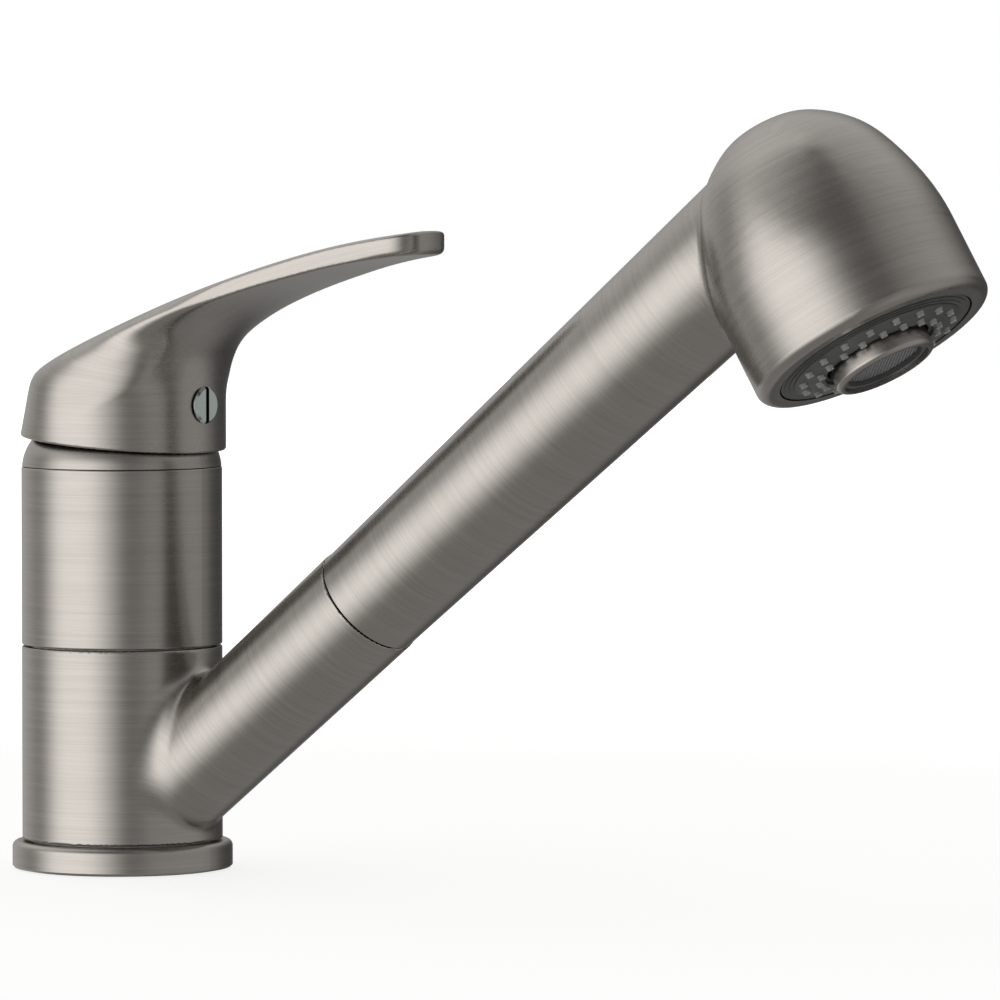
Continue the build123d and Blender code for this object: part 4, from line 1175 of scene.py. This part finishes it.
@dataclass
class Studio:
    """White background, pale floor, and one smooth panorama of soft light.

    Directions are given as the angle round the object from the camera, positive to its right, and as
    the height over the horizon, both in degrees.
    """

    camera_place: Triple = (1.1347, -1.4561, 0.1790)
    camera_look: Triple = (-0.57294, 0.81823, -0.04724)
    lens: float = 266.4
    floor_radius: float = 4.0
    floor_depth: float = -0.0001
    floor_white: float = 1.32
    gain: float = 1.2
    horizon: tuple[Pair, ...] = (
        (-180, 0.30), (-165, 0.42), (-150, 0.52), (-130, 0.50), (-112, 0.36), (-100, 0.34), (-60, 0.34),
        (-10, 0.22), (5, 0.19), (20, 0.26), (36, 0.38), (90, 0.40), (102, 0.40), (116, 0.24), (130, 0.10),
        (150, 0.07), (163, 0.08), (172, 0.20), (180, 0.30),
    )
    ceiling: tuple[Pair, ...] = (
        (-180, 0.66), (-130, 0.80), (-100, 0.82), (-70, 0.56), (-50, 0.36), (-30, 0.22), (-10, 0.14),
        (20, 0.14), (40, 0.30), (70, 0.42), (100, 0.50), (130, 0.58), (160, 0.64), (180, 0.66),
    )
    below: float = 0.29
    low_join: Pair = (-50.0, -26.0)
    high_join: Pair = (8.0, 46.0)
    window: float = 1.56
    window_left: Pair = (-106.0, -68.0)
    window_right: Pair = (-42.0, 14.0)
    window_foot: Pair = (-52.0, -8.0)
    window_head: Pair = (12.0, 38.0)
    warm: Triple = (1.0, 0.985, 0.965)

    def ramp(self, azimuth: Term, stops: Sequence[Pair]) -> Term:
        """Level by azimuth, through a smooth ramp."""
        places = [((angle + 180.0) / 360.0, level) for angle, level in stops]
        ramp = azimuth.graph.node("ValToRGB", {"stops": places}, {"Fac": azimuth / 360.0 + 0.5})
        ramp.socket.node.color_ramp.interpolation = "EASE"
        return ramp.dot((1.0 / 3.0, 1.0 / 3.0, 1.0 / 3.0))

    def panorama(self, direction: Term) -> Term:
        """Radiance seen in a direction.

        Args:
            direction: A vector of length one.

        Returns:
            The radiance: floor, horizon and ceiling levels by azimuth, joined by smooth steps in height,
            with the soft window over them on the camera's left.
        """
        look = unit((self.camera_look[0], self.camera_look[1], 0.0))
        right = unit(np.cross(look, COLUMN_AXIS))
        graph, degrees = direction.graph, 180.0 / math.pi
        azimuth = direction.dot(right).arctan2(direction.dot(-look)) * degrees
        height = direction.dot(COLUMN_AXIS).arcsine() * degrees
        low = graph.blend(height.step(*self.low_join), self.below, self.ramp(azimuth, self.horizon))
        level = graph.blend(height.step(*self.high_join), low, self.ramp(azimuth, self.ceiling))
        window = azimuth.band(self.window_left, self.window_right)
        window = window * height.band(self.window_foot, self.window_head)
        return graph.blend(window, level, self.window) * self.gain

    def paint_world(self) -> None:
        """White to the camera, the panorama to everything else."""
        world = bpy.data.worlds.new("studio")
        bpy.context.scene.world = world
        world.use_nodes = True
        graph = Graph(world.node_tree)
        direction = graph.node("TexCoord", {}, {}, "Generated")
        direction = graph.vector("NORMALIZE", direction, DECK)
        light = self.panorama(direction)
        seen = graph.node("LightPath", {}, {}, Side.CAMERA.value)
        strength = graph.blend(seen, light, 1.0)
        colour = graph.blend_colour(seen, rgba(self.warm), rgba((1.0, 1.0, 1.0)))
        background = graph.node("Background", {}, {"Color": colour, "Strength": strength})
        graph.node("OutputWorld", {}, {"Surface": background})

    def lay_floor(self) -> None:
        """A pale disc that the camera sees as white with the object's soft shadow on it.

        Reflections look through it, so that metal shows the panorama below the horizon as well as above.
        It is clear from below.
        """
        material = bpy.data.materials.new("studio_floor")
        material.use_nodes = True
        graph = Graph(material.node_tree)
        place = graph.node("TexCoord", {}, {}, "Object")
        pale = graph.node("BsdfDiffuse", {}, {"Color": (0.8, 0.8, 0.8, 1.0)})
        white = graph.node("Emission", {}, {"Strength": self.floor_white})
        clear = graph.node("BsdfTransparent", {}, {})
        camera_seen = graph.node("LightPath", {}, {}, Side.CAMERA.value)
        glossy_seen = graph.node("LightPath", {}, {}, Side.GLOSSY.value)
        below = graph.node("NewGeometry", {}, {}, "Backfacing")
        distance = graph.vector("LENGTH", place, DECK, "Value")
        fade = distance.step(0.3, 1.0) * 0.4 + 0.6
        shown = graph.node("MixShader", {}, {0: camera_seen * fade, 1: pale, 2: white})
        shown = graph.node("MixShader", {}, {0: glossy_seen.at_least(below), 1: shown, 2: clear})
        graph.node("OutputMaterial", {}, {"Surface": shown})
        spin = np.arange(128)
        turn = 2.0 * math.pi * spin / len(spin)
        radii = np.array([0.0002, 0.1, 0.3, 1.0, self.floor_radius])[:, None]
        depth = np.full((len(radii), len(spin)), self.floor_depth)
        points = np.stack([radii * np.cos(turn), radii * np.sin(turn), depth], -1).reshape(-1, 3)
        rings = tube_faces(len(radii), len(spin))[:, OUTSIDE_IN]
        mesh_object("floor", points, [rings, spin[None, :]], material)

    def set_camera(self) -> None:
        """The camera at the photograph's angle: its place and look direction are given as they are."""
        data = bpy.data.cameras.new("camera")
        data.lens = self.lens
        data.sensor_width = 36.0
        data.clip_start = 0.05
        camera = bpy.data.objects.new("camera", data)
        bpy.context.scene.collection.objects.link(camera)
        camera.location = self.camera_place
        camera.rotation_mode = "QUATERNION"
        camera.rotation_quaternion = Vector(self.camera_look).to_track_quat("-Z", "Y")
        bpy.context.scene.camera = camera

    def build(self) -> None:
        """World, floor, camera and view transform."""
        self.paint_world()
        self.lay_floor()
        self.set_camera()
        bpy.context.scene.view_settings.view_transform = "Standard"


@dataclass
class Mixer:
    """The whole tap, sub-assembly by sub-assembly."""

    assemblies: tuple[Any, ...] = (Column(), Cartridge(), Lever(), Spout(), Handset(), SprayFace())

    def build(self) -> None:
        """Build each sub-assembly in turn."""
        for assembly in self.assemblies:
            log.info("building %s", type(assembly).__name__)
            assembly.build()


def main() -> None:
    """Build the tap and the studio round it."""
    logging.basicConfig(level=logging.INFO, format="%(name)s %(message)s")
    Mixer().build()
    Studio().build()


if __name__ == "__main__":
    main()
